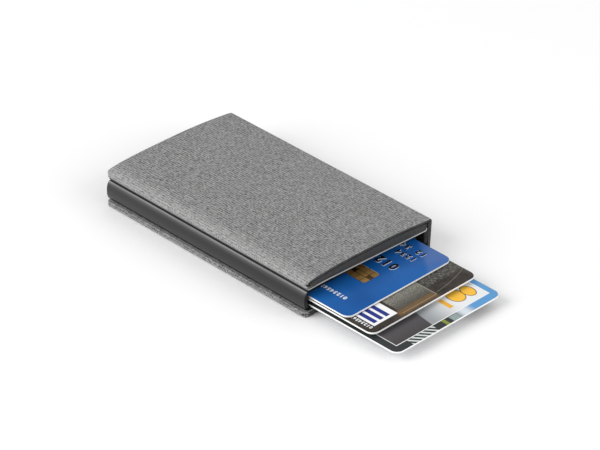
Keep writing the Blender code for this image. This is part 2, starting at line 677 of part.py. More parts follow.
def main():
    for leftover in list(bpy.data.objects):
        bpy.data.objects.remove(leftover, do_unlink=True)

    aluminium = material("anodised aluminium", (0.075, 0.078, 0.082), 0.42, 0.9)
    steel = material("rivet steel", (0.55, 0.56, 0.58), 0.3, 1.0)
    plastic = material("black plastic", (0.03, 0.03, 0.032), 0.5)
    felt = material("felt", (0.05, 0.05, 0.052), 0.95)
    cloth = material("melange fabric", (0.23, 0.23, 0.23), 0.9)
    lining = material("grey lining", (0.10, 0.10, 0.105), 0.6)
    board = material("grey board", (0.35, 0.34, 0.32), 0.85)
    foam = material("grey foam", (0.05, 0.05, 0.052), 0.9)
    glue = material("adhesive film", (0.75, 0.73, 0.66), 0.5)
    gold = material("chip gold", (0.62, 0.40, 0.15), 0.3, 0.9)
    blue = material("blue card", (0.03, 0.11, 0.36), 0.35)
    brown = material("brown card", (0.09, 0.075, 0.06), 0.35)
    grey = material("grey card", (0.36, 0.37, 0.38), 0.35)

    make_case_shell(aluminium)
    make_end_cap(plastic)
    make_pivot_rivet(steel)
    make_ejector_lever(plastic)
    make_guide_rail(plastic)
    make_felt_strip(felt)
    make_card("bottom", BOTTOM_CARD_SLOT, False, grey, gold)
    make_card("middle", MIDDLE_CARD_SLOT, False, brown, gold)
    make_card("top", TOP_CARD_SLOT, True, blue, gold)

    make_back_panel(cloth, board, lining, glue)
    spine_fold = fold_at("spine_fold", 0.0)
    make_spine(cloth, lining, spine_fold)
    flap_fold = fold_at("flap_fold", FLAP_AXIS_Z, spine_fold)
    make_flap(cloth, board, lining, foam, flap_fold)


main()
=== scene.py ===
"""Looks of a card wallet: cloth, lining and foam of the book cover, the anodised card case,
its moulded inner pieces, three printed cards, and the studio that they lie in.

Metres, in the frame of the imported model: the mouth faces -Y, the spine is at +X, +Z is up.
"""

import math

import bmesh
import bpy
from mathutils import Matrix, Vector, noise


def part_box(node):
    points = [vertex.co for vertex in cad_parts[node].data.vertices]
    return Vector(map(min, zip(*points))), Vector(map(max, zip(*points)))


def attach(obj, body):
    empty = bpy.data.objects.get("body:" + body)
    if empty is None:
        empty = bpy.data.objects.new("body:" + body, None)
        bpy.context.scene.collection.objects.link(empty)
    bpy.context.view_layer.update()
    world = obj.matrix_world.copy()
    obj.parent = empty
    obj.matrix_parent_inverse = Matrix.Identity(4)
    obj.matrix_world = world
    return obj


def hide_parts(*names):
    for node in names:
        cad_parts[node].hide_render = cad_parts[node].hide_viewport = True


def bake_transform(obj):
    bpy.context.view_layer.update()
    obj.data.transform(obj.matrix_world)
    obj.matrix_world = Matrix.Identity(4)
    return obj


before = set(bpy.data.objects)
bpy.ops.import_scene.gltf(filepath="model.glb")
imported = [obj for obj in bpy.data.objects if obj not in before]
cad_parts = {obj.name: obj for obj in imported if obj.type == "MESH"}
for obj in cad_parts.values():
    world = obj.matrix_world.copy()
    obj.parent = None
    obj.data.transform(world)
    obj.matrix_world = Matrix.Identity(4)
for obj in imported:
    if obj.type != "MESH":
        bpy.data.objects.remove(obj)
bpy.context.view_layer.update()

MM = 0.001
QUARTER = math.pi / 2
SHARP_ANGLE = math.radians(38)
WELD = MM / 1000

# Camera, fitted to the photograph
CAMERA_TARGET = (2.08 * MM, -15.35 * MM, 7.0 * MM)
CAMERA_DISTANCE = 1292.3 * MM
CAMERA_AZIMUTH = math.radians(-44.44)
CAMERA_ELEVATION = math.radians(32.69)
CAMERA_LENS = 210.0
CAMERA_SENSOR = 36.0

# Studio: strength of the surround, and each lamp's direction, size and power
SURROUND = 0.605
LAMP_DISTANCE = 2.0
LAMPS = (("key", (-0.76, 0.30, 0.52), 1.4, 25.5), ("fill", (0.3, -0.85, 0.42), 1.6, 15.0))
FLOOR_HALF = 3.0
FLOOR_DROP = 0.05 * MM

# Cloth of the cover
CLOTH = 0.46 * MM
CLOTH_EDGE_RADIUS = 0.24 * MM
LIP_WALL = 0.42 * MM
LIP_ROUND = 0.09 * MM
FLAP_LIP = 0.95 * MM
SPINE_LIP = 0.82 * MM
BACK_LIP = 1.45 * MM
NOSE_LIP = 0.64 * MM
LIP_CHANGE = 3.2 * MM
CLOTH_WAVE = 0.07 * MM
CLOTH_WAVE_LENGTH = 14.0 * MM
CLOTH_ROWS = 110
FLAP_STEPS = 96
BACK_STEPS = 80
END_FACING = 0.7
TURN_IN = 5.0 * MM
BACK_CORNER_RADIUS = 2.2 * MM
FLAP_CORNER_RADIUS = 0.9 * MM
FOLD_SETBACK = 0.5 * MM
FOLD_EASE = 2.4 * MM

# Yarns of the cloth, in millimetres, and the strength of the painted highlight along the flap's nose
YARN_PITCH = 0.52
SLUB_LENGTH = 1.5
YARN_RIB = 0.30
NOSE_PAINTED_HIGHLIGHT = 0.24

# Curves of the cover, as the solids have them
ARCH_RADIUS = 270.0 * MM
ARCH_CROWN_X = -2.8 * MM
FLAP_NOSE_RADIUS = 1.5 * MM
NOSE_FULLNESS = 0.45 * MM
FLAP_FULLNESS = 1.0 * MM
FULLNESS_REACH = 2.2 * MM
FULLNESS_POWER = 1.2
FOLD_RADIUS = 1.9 * MM
SPINE_LEAN = 0.65 * MM
SPINE_CORNER_RADIUS = 1.0 * MM
LINING_CURL_RADIUS = 1.0 * MM
LINING_SETBACK = 0.9 * MM

# Linings, foam and felt
LINING = 0.4 * MM
LINING_STEPS = 30
FLAP_LINING = 0.5 * MM
SHEET_ROUND = 0.08 * MM
FOAM_ROUND = 0.25 * MM
FOAM_DEPTH = 1.62 * MM
FOAM_UNDER_STEPS = 40
FOAM_TOP_STEPS = 60
FELT_PILE = 0.08 * MM
FELT_ROWS = 160
FELT_LOOSENESS = 0.9

# Front end of the flap, where foam and lining sag a little in front of the case's mouth
FRONT_FOAM_DEPTH = 1.55 * MM
FRONT_FOAM_END = 53.16 * MM
FRONT_LINING_END = 53.3 * MM
SAG_START = 52.94 * MM
SAG_END = 53.02 * MM
SAG_MARGIN = 0.3 * MM
SAG_FROM_X = -22.0 * MM
SAG_SLOPE = 0.0425
SAG_LIFT = 0.3 * MM
FOAM_FALL_FROM_X = 20.0 * MM
FOAM_FALL = 0.1

# Card case, with the tone and gloss of its side from bottom to top: painted shade at the gaps below and
# above it, painted reflection between, and a painted highlight under its top corner
CASE_SIDE_ROUNDING = 2.4 * MM
CASE_SIDE_POWER = 2.4
CASE_BORE_RADIUS = 0.4 * MM
CASE_WALL = 0.9 * MM
CASE_SIDE_WALL = 2.25 * MM
CASE_RIM = 0.18 * MM
CASE_RIM_STEPS = 3
CASE_END_FACING = 0.6
CASE_SIDE_STEPS = 47
CASE_SIDE_PAINTED_LIGHT_TONES = ((0.0, 0.003), (0.13, 0.004), (0.17, 0.080), (0.35, 0.064), (0.58, 0.052),
                   (0.74, 0.052), (0.86, 0.085), (0.92, 0.160), (0.96, 0.380), (1.0, 0.030))
CASE_SIDE_PAINTED_SHADE_GLOSS = ((0.0, 0.02), (0.13, 0.03), (0.18, 1.0), (1.0, 1.0))
CASE_TOP_TONE = 0.032
RIVET_HOLE_RADIUS = 1.12 * MM
RIVET_DOME = 0.12 * MM
RIVET_STEPS = 48
MOULDED_EDGE = 0.12 * MM

# Cards
CARD_CORNER_RADIUS = 3.18 * MM
CARD_EDGE = 0.07 * MM
CARD_CORNER_STEPS = 12
CHIP_CORNER_RADIUS = 1.3 * MM
CHIP_CORNER_STEPS = 8
CHIP_FIT = 0.03 * MM
CHIP_POCKET = 0.34 * MM
CHIP_PAD_HEIGHT = 0.05 * MM
CHIP_PAD_GAP = 0.26 * MM
CHIP_BORDER = 0.12 * MM
CHIP_ROWS = 4
CHIP_PAD_SHARE = 0.36
DIGIT_WEIGHT = 0.05
DIGIT_CURVE_STEPS = 4

# Printed areas on a card, in millimetres: left, right, front and rear
BROWN_TOWN = (35.5, 54.0, 7.5, 30.0)
BROWN_FRAME = (17.4, 34.9, 1.9, 40.0)
BROWN_PANEL = (17.4, 34.55, 2.2, 40.0)
BROWN_EMBERS = (15.5, 34.5, 0.9, 4.0)
BROWN_LABEL = (4.2, 16.0, 3.3, 12.6)
BROWN_BARS = ((5.4, 7.3, 4.6, 14.0), (8.5, 10.4, 4.6, 14.0), (11.6, 13.5, 4.6, 14.0))
GREY_BANDS = (8.5, 21.5, -1.0, 3.4)
GREY_LEAF = (25.8, 27.4, -1.0, 3.4)
GREY_MIST = (29.5, 33.0, -1.0, 3.2)
GREY_FRAME = (3.35, 51.4, 3.5, 82.0)
GREY_PICTURE = (3.65, 51.1, 3.85, 81.7)
GREY_POST = (34.0, 36.0, 6.6, 12.9)
GREY_DISCS = ((37.9, 44.7, 6.6, 15.0), (44.2, 49.4, 6.3, 13.5))
DISC_RIM = 0.32
DISC_SOFT = 0.04
STRIPE = (38.0, 50.7, -1.0, 87.0)

# Slanting line on the blue card and bowed line on the brown card, in millimetres
BLUE_CORNER = (48.5, 9.7, 0.0)
BLUE_ACROSS = (0.8, -0.6, 0.0)
BOW_MIDDLE = 33.0
BOW_FRONT = 2.9
BOW_BEND = 0.0095


def low(node):
    """Lowest corner of a CAD node."""
    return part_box(node)[0]


def high(node):
    """Highest corner of a CAD node."""
    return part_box(node)[1]


COVER_HALF = high("flap_fabric").y
FLAP_NOSE = low("flap_fabric").x
BACK_NOSE = low("back_fabric").x
SPINE_OUTER = high("spine_fabric").x
TURN_IN_Z = low("flap_fabric").z
BACK_TOP = high("back_fabric").z
ARCH_CENTRE_Z = high("flap_fabric").z - ARCH_RADIUS
FOLD_CENTRE_X = SPINE_OUTER + SPINE_LEAN - FOLD_RADIUS
FOLD_CENTRE_Z = ARCH_CENTRE_Z + math.sqrt(
    (ARCH_RADIUS - FOLD_RADIUS) ** 2 - (FOLD_CENTRE_X - ARCH_CROWN_X) ** 2
)
SPINE_MIDDLE_Z = high("spine_fabric").z / 2
CASE_LOW, CASE_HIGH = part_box("case_shell")
PIVOT = (low("pivot_rivet") + high("pivot_rivet")) / 2


# Node trees

class Signal:
    """What a node puts out: a number or vector that adds and multiplies like a plain one."""

    def __init__(self, socket):
        self.socket = socket
        self.tree = socket.id_data

    def __add__(self, other):
        return compute("ADD", self, other)

    def __sub__(self, other):
        return compute("SUBTRACT", self, other)

    def __mul__(self, other):
        return compute("MULTIPLY", self, other)

    def __truediv__(self, other):
        return compute("DIVIDE", self, other)


def tree_of(values):
    """Node tree of the signals among some values."""
    return next(value.tree for value in values if isinstance(value, Signal))


def put(socket, value):
    """Link a socket to a signal, or set its value."""
    if isinstance(value, Signal):
        value.tree.links.new(value.socket, socket)
        return
    if socket.type == "RGBA" and len(value) == 3:
        value = (*value, 1.0)
    socket.default_value = value


def add(tree, kind, inputs, **settings):
    """A node with its settings, and its inputs by name or number."""
    made = tree.nodes.new(kind)
    for name, value in settings.items():
        setattr(made, name, value)
    for key, value in inputs.items():
        put(made.inputs[key], value)
    return made


def shade(kind, inputs, out=0, **settings):
    """One output of a new shader node, beside the nodes that it is linked to."""
    return Signal(add(tree_of(inputs.values()), "ShaderNode" + kind, inputs, **settings).outputs[out])


def source(tree, kind, out=0, **settings):
    """One output of a shader node that stands at the start of a tree."""
    return Signal(add(tree, "ShaderNode" + kind, {}, **settings).outputs[out])


def compute(operation, *values, out=0):
    """Result of a Math node, or of a Vector Math node where a value is a vector."""
    is_vector = any(isinstance(value, Signal) and value.socket.type == "VECTOR" for value in values)
    return shade("VectorMath" if is_vector else "Math", dict(enumerate(values)), out,
                 operation=operation)


def blend(factor, first, second, kind="MIX"):
    """Two colours mixed by a factor."""
    return shade("Mix", {0: factor, 6: first, 7: second}, 2, data_type="RGBA", blend_type=kind)


def rescale(value, start, end, to_start=0.0, to_end=1.0, smooth=False):
    """A value carried from one range to another and kept inside it."""
    return shade("MapRange", {0: value, 1: start, 2: end, 3: to_start, 4: to_end},
                 interpolation_type="SMOOTHSTEP" if smooth else "LINEAR")


def noise_at(place, scale, detail=2.0, roughness=0.5):
    """Value of a noise at a place."""
    return shade("TexNoise", {"Vector": place, "Scale": scale, "Detail": detail,
                              "Roughness": roughness})


def cells_at(place, scale):
    """Distance from the middle of the cell that a place is in."""
    return shade("TexVoronoi", {"Vector": place, "Scale": scale}, "Distance")


def axes(place):
    """The three coordinates of a place."""
    made = add(place.tree, "ShaderNodeSeparateXYZ", {0: place})
    return [Signal(socket) for socket in made.outputs]


def spot(x, y, z=0.0):
    """A place from its coordinates."""
    return shade("CombineXYZ", {0: x, 1: y, 2: z})


def reach_of(place):
    """Distance of a place from the upright axis."""
    return compute("LENGTH", place * (1.0, 1.0, 0.0), out="Value")


def object_place(tree, scale=(1.0, 1.0, 1.0), shift=(0.0, 0.0, 0.0)):
    """Object coordinates in millimetres, shifted and then stretched."""
    metres = source(tree, "TexCoord", "Object")
    return shade("Mapping", {"Vector": metres, "Location": shift,
                             "Scale": (1 / MM, 1 / MM, 1 / MM)}) * scale


def start_group(name, inputs, outputs, kind="ShaderNodeTree"):
    """A node group from its sockets' labels and kinds, with its inputs and its outputs."""
    made = bpy.data.node_groups.new(name, kind)
    for way, sockets in (("INPUT", inputs), ("OUTPUT", outputs)):
        for label, sort in sockets.items():
            made.interface.new_socket(label, in_out=way, socket_type="NodeSocket" + sort)
    given = made.nodes.new("NodeGroupInput").outputs
    return made, [Signal(given[label]) for label in inputs], made.nodes.new("NodeGroupOutput").inputs


def use_group(group, place, **values):
    """What a node group puts out at a place."""
    made = add(place.tree, "ShaderNodeGroup", {}, node_tree=group)
    for label, value in {"Place": place, **values}.items():
        put(made.inputs[label], value)
    return [Signal(socket) for socket in made.outputs]


def start_material(name, **values):
    """A material, its node tree and its shader's inputs, with plain values set on the shader."""
    made = bpy.data.materials.new(name)
    made.use_nodes = True
    shader = made.node_tree.nodes["Principled BSDF"].inputs
    for key, value in values.items():
        put(shader[key.replace("_", " ").title().replace("Ior", "IOR")], value)
    return made, made.node_tree, shader


def paint(shader, factor, first, second):
    """Give a shader a colour mixed by a factor."""
    put(shader["Base Color"], blend(factor, first, second))


def relief(shader, height, distance, strength):
    """Bump from a height of 0 to 1."""
    put(shader["Normal"], shade("Bump", {"Height": height, "Distance": distance,
                                         "Strength": strength}))


def make_grain_group():
    """Fine surface grain: a tint and a height that many finishes share."""
    group, (place, grain, patches), sink = start_group(
        "surface_grain", {"Place": "Vector", "Grain": "Float", "Patches": "Float"},
        {"Tint": "Float", "Height": "Float"})
    fine = noise_at(place, grain, 3.0, 0.6)
    put(sink["Tint"], fine * 0.5 + noise_at(place, patches) * 0.5)
    put(sink["Height"], fine)
    return group


def make_weave_group():
    """Plain weave of uneven yarns: shade and height from a place in millimetres."""
    group, (place, pitch, slub_length, rib), sink = start_group(
        "melange_weave", {"Place": "Vector", "Pitch": "Float", "Slub": "Float", "Rib": "Float"},
        {"Shade": "Float", "Height": "Float"})
    u, v, _ = axes(place)
    tone = 0.5
    heights = []
    lanes = []
    for across, along, seed, share in ((u, v, 3.7, 0.68), (v, u, 61.3, 0.32)):
        count = across / pitch
        lane = compute("FLOOR", count)
        run = along / slub_length
        slub = noise_at(spot((lane + seed) * 7.31, run), 1.0, 1.0, 0.6) - 0.5
        crown = compute("COSINE", count * math.pi)
        strength = rescale(noise_at(spot(count * 0.31, run, seed), 1.0, 1.0), 0.35, 0.65)
        tone = (slub + crown * strength * rib) * share + tone
        lanes.append(lane)
        heights.append(compute("ABSOLUTE", crown))
    fleck = shade("TexWhiteNoise", {"Vector": spot(*lanes)}, "Value", noise_dimensions="3D")
    put(sink["Shade"], tone + rescale(fleck, 0.0, 1.0, -0.1, 0.1))
    over = compute("FLOORED_MODULO", lanes[0] + lanes[1], 2.0)
    put(sink["Height"], shade("Mix", {0: over, 2: heights[0], 3: heights[1]}))
    return group


def box_distance(away, half):
    """How far a place lies outside a rectangle, below 0 inside it."""
    x, y, _ = axes(compute("ABSOLUTE", away) - half)
    return compute("MAXIMUM", x, y)


def ellipse_distance(away, half):
    """How far a place lies outside an ellipse, as a share of its size, below 0 inside it."""
    return reach_of(away / half) - 1.0


def make_mask_group(name, distance):
    """Mask of a printed shape with soft or crisp edges, in card millimetres."""
    group, (place, centre, half, soft), sink = start_group(
        name, {"Place": "Vector", "Centre": "Vector", "Half": "Vector", "Soft": "Float"},
        {"Mask": "Float"})
    put(sink["Mask"], rescale(distance(place - centre, half), soft * -1.0, soft, 1.0, 0.0, smooth=True))
    return group


GRAIN = make_grain_group()
WEAVE = make_weave_group()
PATCH = make_mask_group("print_patch", box_distance)
DISC = make_mask_group("print_disc", ellipse_distance)


# Finishes

def melange_cloth():
    """Grey melange cloth: pale and dark yarns in a plain weave, with a painted highlight along the
    flap's nose.
    """
    look, tree, shader = start_material("melange_cloth", roughness=0.85, sheen_weight=0.12,
                                        sheen_roughness=0.4, specular_ior_level=0.25)
    tone, height = use_group(WEAVE, source(tree, "UVMap", uv_map="weave"), Pitch=YARN_PITCH,
                             Slub=SLUB_LENGTH, Rib=YARN_RIB)
    x, _, z = axes(object_place(tree))
    nose = FLAP_NOSE / MM
    under = TURN_IN_Z / MM
    # Paler band near the flap's nose: painted highlight standing in for the light on its slope.
    nose_highlight = rescale(x, nose + 1.0, nose + 7.0, 1.0, 0.0, smooth=True) * rescale(z, under, under + 1.0)
    paint(shader, rescale(tone, 0.2, 0.8) + nose_highlight * NOSE_PAINTED_HIGHLIGHT, (0.060, 0.060, 0.061),
          (0.415, 0.415, 0.412))
    relief(shader, height, 0.08 * MM, 0.8)
    return look


def grained(name, grain, patches, colours, spread=None, rough=None, raised=None, pebbles=None,
            scale=(1.0, 1.0, 1.0), **values):
    """A finish whose grain mixes two colours; it may vary its roughness, and be raised or pebbled."""
    look, tree, shader = start_material(name, **values)
    place = object_place(tree, scale)
    tint, height = use_group(GRAIN, place, Grain=grain, Patches=patches)
    paint(shader, rescale(tint, *spread) if spread else tint, *colours)
    if rough:
        put(shader["Roughness"], rescale(tint, 0.3, 0.7, *rough))
    if raised:
        relief(shader, cells_at(place, pebbles) if pebbles else height, *raised)
    return look


def cloth_end_painted_shade():
    """Darker copy of the cloth on its turned ends at the cover's short sides: painted shade."""
    return grained("cloth_end_painted_shade", 2.6, 0.4, ((0.045, 0.045, 0.046), (0.095, 0.095, 0.094)),
                   spread=(0.35, 0.65), raised=(0.06 * MM, 0.7), scale=(1.0, 1.0, 3.0),
                   roughness=0.9, specular_ior_level=0.15)


def lining_skin():
    """Dark coated lining with a pebbled grain."""
    return grained("lining_skin", 5.0, 0.2, ((0.05, 0.05, 0.053), (0.12, 0.12, 0.125)),
                   rough=(0.5, 0.7), raised=(0.05 * MM, 0.6), pebbles=2.2, specular_ior_level=0.4)


def lining_cut_edge():
    """Pale edge of the lining."""
    return grained("lining_cut_edge", 3.0, 0.25, ((0.40, 0.395, 0.385), (0.56, 0.55, 0.54)),
                   raised=(0.03 * MM, 0.5), roughness=0.7, specular_ior_level=0.3)


def foam_cells():
    """Dark closed-cell foam."""
    look, tree, shader = start_material("foam_cells", roughness=0.9, specular_ior_level=0.2)
    place = object_place(tree)
    cells = cells_at(place, 3.4)
    tone = cells * 0.5 + noise_at(place, 1.2, 3.0, 0.6)
    paint(shader, rescale(tone, 0.3, 1.1), (0.040, 0.040, 0.040), (0.075, 0.075, 0.072))
    relief(shader, cells, 0.08 * MM, 0.7)
    return look


def grey_board():
    """Pressed board: short pale and dark fibres, with painted shade in black along its short ends."""
    look, tree, shader = start_material("grey_board_fibres_and_painted_shade", roughness=0.88)
    tint, height = use_group(GRAIN, object_place(tree, (1.0, 0.35, 1.0)), Grain=3.2, Patches=0.3)
    fibres = blend(rescale(tint, 0.35, 0.65), (0.27, 0.26, 0.24), (0.42, 0.41, 0.38))
    along = compute("ABSOLUTE", axes(object_place(tree))[1])
    # Black band at the board's short ends: painted shade, the dark line in the gap under the cloth's
    # turned ends.
    end = high("flap_board").y / MM
    paint(shader, rescale(along, end - 0.5, end - 0.3), fibres, (0.008, 0.008, 0.008))
    relief(shader, height, 0.05 * MM, 0.5)
    return look


def ramp(value, stops):
    """Grey tones along a value, from (place, tone) stops."""
    made = add(value.tree, "ShaderNodeValToRGB", {0: value})
    points = made.color_ramp.elements
    while len(points) < len(stops):
        points.new(1.0)
    for point, (place, tone) in zip(points, stops):
        point.position = place
        point.color = (tone, tone, tone * 1.01, 1.0)
    return Signal(made.outputs[0])


def anodised_case(name, strength):
    """Dark satin anodised aluminium, with painted highlight and shade along its side from bottom to top,
    and one plain tone on its flat top.
    """
    look, tree, shader = start_material(name, metallic=0.7, specular_ior_level=0.25)
    lines = noise_at(object_place(tree, (9.0, 0.05, 9.0)), 1.0, 4.0, 0.65)
    place = object_place(tree)
    x, _, z = axes(place)
    size = (CASE_HIGH - CASE_LOW) / MM
    middle = (CASE_HIGH + CASE_LOW) / 2 / MM
    rise = (z - CASE_LOW.z / MM) / size.z + rescale(lines, 0.3, 0.7, -0.02, 0.02)
    inward = compute("SUBTRACT", size.x / 2, compute("ABSOLUTE", x - middle.x))
    # The side's tone by height is painted light: dark at the gaps, lighter near the bottom, a highlight
    # under the top corner.
    tone = blend(rescale(inward, 1.1, 1.7, smooth=True), ramp(rise, CASE_SIDE_PAINTED_LIGHT_TONES),
                 (CASE_TOP_TONE, CASE_TOP_TONE, CASE_TOP_TONE))
    # A strength below 1 darkens the whole finish: painted shade on the case's end faces.
    streak = rescale(lines, 0.3, 0.7, 0.88 * strength, 1.12 * strength)
    grey = shade("CombineColor", {0: streak, 1: streak, 2: streak})
    put(shader["Base Color"], blend(1.0, tone, grey, kind="MULTIPLY"))
    put(shader["Roughness"], rescale(lines, 0.3, 0.7, 0.0, 0.07)
        + rescale(noise_at(place, 0.09), 0.3, 0.7, 0.385, 0.415))
    # Gloss by height: little gloss at the bottom paints the lower gap darker.
    put(shader["Specular Tint"], ramp(rise, CASE_SIDE_PAINTED_SHADE_GLOSS))
    relief(shader, lines, 0.01 * MM, 0.5)
    return look


def black_moulding():
    """Black moulded plastic with a fine spark-eroded texture."""
    return grained("black_moulding", 7.0, 0.2, ((0.022, 0.022, 0.024), (0.042, 0.042, 0.045)),
                   rough=(0.4, 0.58), raised=(0.02 * MM, 0.6), specular_ior_level=0.5)


def felt_pile():
    """Matted dark felt."""
    look, tree, shader = start_material("felt_pile", roughness=0.97, sheen_weight=0.4,
                                        specular_ior_level=0.1)
    fibres = noise_at(object_place(tree, (3.0, 1.0, 2.0)), 3.0, 4.0, 0.7)
    paint(shader, rescale(fibres, 0.3, 0.7), (0.03, 0.03, 0.032), (0.09, 0.09, 0.093))
    relief(shader, fibres, 0.15 * MM, 0.9)
    return look


def turned_steel():
    """Turned rivet steel: fine rings round the rivet's axis."""
    look, tree, shader = start_material("turned_steel", metallic=1.0)
    place = object_place(tree, shift=(-PIVOT.x / MM, -PIVOT.y / MM, 0.0))
    rings = compute("SINE", reach_of(place) * 60.0)
    paint(shader, rescale(rings, -1.0, 1.0), (0.5, 0.51, 0.53), (0.62, 0.63, 0.65))
    put(shader["Roughness"], rescale(rings, -1.0, 1.0, 0.22, 0.36))
    relief(shader, rings, 0.008 * MM, 0.5)
    return look


def adhesive_film():
    """Cloudy adhesive film."""
    return grained("adhesive_film", 0.8, 0.12, ((0.66, 0.63, 0.54), (0.82, 0.8, 0.74)),
                   raised=(0.04 * MM, 0.4), roughness=0.45)


def card_core():
    """White laminated edge of a card."""
    look, tree, shader = start_material("card_core", roughness=0.5)
    layers = noise_at(object_place(tree, (0.3, 0.3, 9.0)), 1.0)
    paint(shader, rescale(layers, 0.3, 0.7), (0.93, 0.93, 0.93), (0.99, 0.99, 0.98))
    return look


def chip_gold(name, deep, pale):
    """Gold contact plate, slightly rubbed."""
    return grained(name, 2.4, 0.3, (deep, pale), rough=(0.3, 0.5), metallic=0.75)


def number_ink(name, colour):
    """Foil on the raised numbers, worn thin in places; the pale one also inks the printed numbers and
    paints a highlight on the raised numbers' sides.
    """
    worn = tuple(part * 0.8 + 0.008 for part in colour)
    return grained(name, 3.0, 0.5, (colour, worn), roughness=0.5, specular_ior_level=0.05)


CLOTH_LOOK = melange_cloth()
CLOTH_END_PAINTED_SHADE_LOOK = cloth_end_painted_shade()
LINING_LOOK = lining_skin()
LINING_EDGE_LOOK = lining_cut_edge()
FOAM_LOOK = foam_cells()
BOARD_LOOK = grey_board()
CASE_LOOK = anodised_case("satin_anodised_painted_light", 1.0)
# Darker copy of the case's finish for its end faces: painted shade.
CASE_END_PAINTED_SHADE_LOOK = anodised_case("satin_ends_painted_light_and_shade", 0.4)
MOULDED_LOOK = black_moulding()
FELT_LOOK = felt_pile()
STEEL_LOOK = turned_steel()
FILM_LOOK = adhesive_film()
CORE_LOOK = card_core()
GOLD_LOOK = chip_gold("chip_gold_plate", (0.30, 0.165, 0.045), (0.60, 0.365, 0.125))
GOLD_BASE_LOOK = chip_gold("chip_gold_gaps", (0.05, 0.026, 0.008), (0.10, 0.052, 0.016))
DARK_INK = number_ink("number_foil_dark", (0.003, 0.003, 0.005))
PALE_INK_AND_PAINTED_HIGHLIGHT = number_ink("number_foil_pale_and_painted_highlight", (0.85, 0.87, 0.9))


# Meshes

def place_object(name, data):
    """A new object in the scene."""
    made = bpy.data.objects.new(name, data)
    bpy.context.scene.collection.objects.link(made)
    return made


def give_looks(mesh, looks):
    """Add materials to a mesh."""
    for look in looks:
        mesh.materials.append(look)


def smooth(mesh):
    """A mesh shaded smooth but for its sharp edges."""
    mesh.shade_smooth()
    mesh.set_sharp_from_angle(angle=SHARP_ANGLE)
    return mesh


def finish(name, mesh_data, looks):
    """A bmesh as an object with its looks."""
    mesh = bpy.data.meshes.new(name)
    mesh_data.to_mesh(mesh)
    mesh_data.free()
    give_looks(mesh, looks)
    return place_object(name, smooth(mesh))


def evaluated(piece):
    """An object's mesh as its modifiers or its curve's settings make it."""
    graph = bpy.context.evaluated_depsgraph_get()
    return bpy.data.meshes.new_from_object(piece.evaluated_get(graph))


def settle(piece):
    """Turn an object's modifiers into its mesh."""
    piece.data = smooth(evaluated(piece))
    piece.modifiers.clear()


def take_mesh(holder):
    """The mesh that an object makes, and the object itself removed."""
    mesh = evaluated(holder)
    bpy.data.objects.remove(holder)
    return mesh


def skin(mesh_data, rings, edge_rows=(), closed=False):
    """Body through rings of points, capped or closed upon itself; edge rows take the second look."""
    loops = [[mesh_data.verts.new(point) for point in ring] for ring in rings]
    count = len(loops[0])
    for near, far in zip(loops, loops[1:] + loops[:1] if closed else loops[1:]):
        for i in range(count):
            j = (i + 1) % count
            face = mesh_data.faces.new((near[i], near[j], far[j], far[i]))
            face.material_index = 1 if i in edge_rows else 0
    if not closed:
        mesh_data.faces.new(loops[0][::-1])
        mesh_data.faces.new(loops[-1])
    bmesh.ops.recalc_face_normals(mesh_data, faces=mesh_data.faces)
    return loops


def body(name, rings, looks, **options):
    """An object skinned over rings of points."""
    mesh_data = bmesh.new()
    skin(mesh_data, rings, **options)
    return finish(name, mesh_data, looks)


def cut_away(made, name, rings):
    """Take a body out of a piece, whose looks are given to it afterwards."""
    cutter = body(name + "_cutter", rings, [])
    made.modifiers.new(name, "BOOLEAN").object = cutter
    settle(made)
    bpy.data.objects.remove(cutter)


def dress_faces(made, looks, choose):
    """Give a piece new looks, each face the one whose number is chosen for it."""
    made.data.materials.clear()
    give_looks(made.data, looks)
    for face in made.data.polygons:
        face.material_index = choose(face)


def hand_over(made, node, body_name):
    """Hide the CAD node that a piece replaces, and put the piece on the body that it rides on."""
    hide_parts(node)
    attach(made, body_name)


def arc(centre, radius, start, end, steps):
    """Points of a circle from one angle to another, both ends included."""
    return [(centre[0] + radius * math.cos(start + (end - start) * i / steps),
             centre[1] + radius * math.sin(start + (end - start) * i / steps))
            for i in range(steps + 1)]


def line(start, end, steps):
    """Points of a straight run, without its first one."""
    return [(start[0] + (end[0] - start[0]) * i / steps, start[1] + (end[1] - start[1]) * i / steps)
            for i in range(1, steps + 1)]


def rounded_box(left, right, low_side, high_side, radius, steps):
    """A rectangle with round corners, counter-clockwise."""
    points = []
    for turn, x, y in ((0, right - radius, high_side - radius), (1, left + radius, high_side - radius),
                       (2, left + radius, low_side + radius), (3, right - radius, low_side + radius)):
        points += arc((x, y), radius, turn * QUARTER, turn * QUARTER + QUARTER, steps)
    return points


def plan(first, last, z, radius, steps, grow=0.0):
    """Outline of a box at a height, with round corners and its sides moved out."""
    outline = rounded_box(first.x - grow, last.x + grow, first.y - grow, last.y + grow, radius, steps)
    return [(x, y, z) for x, y in outline]


def arch_z(x, depth=0.0):
    """Height of the flap's arch, or of a surface that deep under it."""
    return ARCH_CENTRE_Z + math.sqrt((ARCH_RADIUS - depth) ** 2 - (x - ARCH_CROWN_X) ** 2)


def flap_top(x, depth=0.0):
    """Height of the flap's cloth, or of a surface under it: the arch, filled out near the nose."""
    inward = min(max(x - FLAP_NOSE, 0.0) / (ARCH_CROWN_X - FLAP_NOSE), 1.0)
    gained = 1 - math.exp(-max(x - FLAP_NOSE - FLAP_NOSE_RADIUS / 2, 0.0) / FULLNESS_REACH)
    fullness = NOSE_FULLNESS + (FLAP_FULLNESS - NOSE_FULLNESS) * gained
    return arch_z(x, depth) + fullness * (1 - inward) ** FULLNESS_POWER


def ease(value, start, end):
    """Smooth step from 0 at start to 1 at end."""
    t = min(max((value - start) / (end - start), 0.0), 1.0)
    return t * t * (3 - 2 * t)


# Cloth of the cover

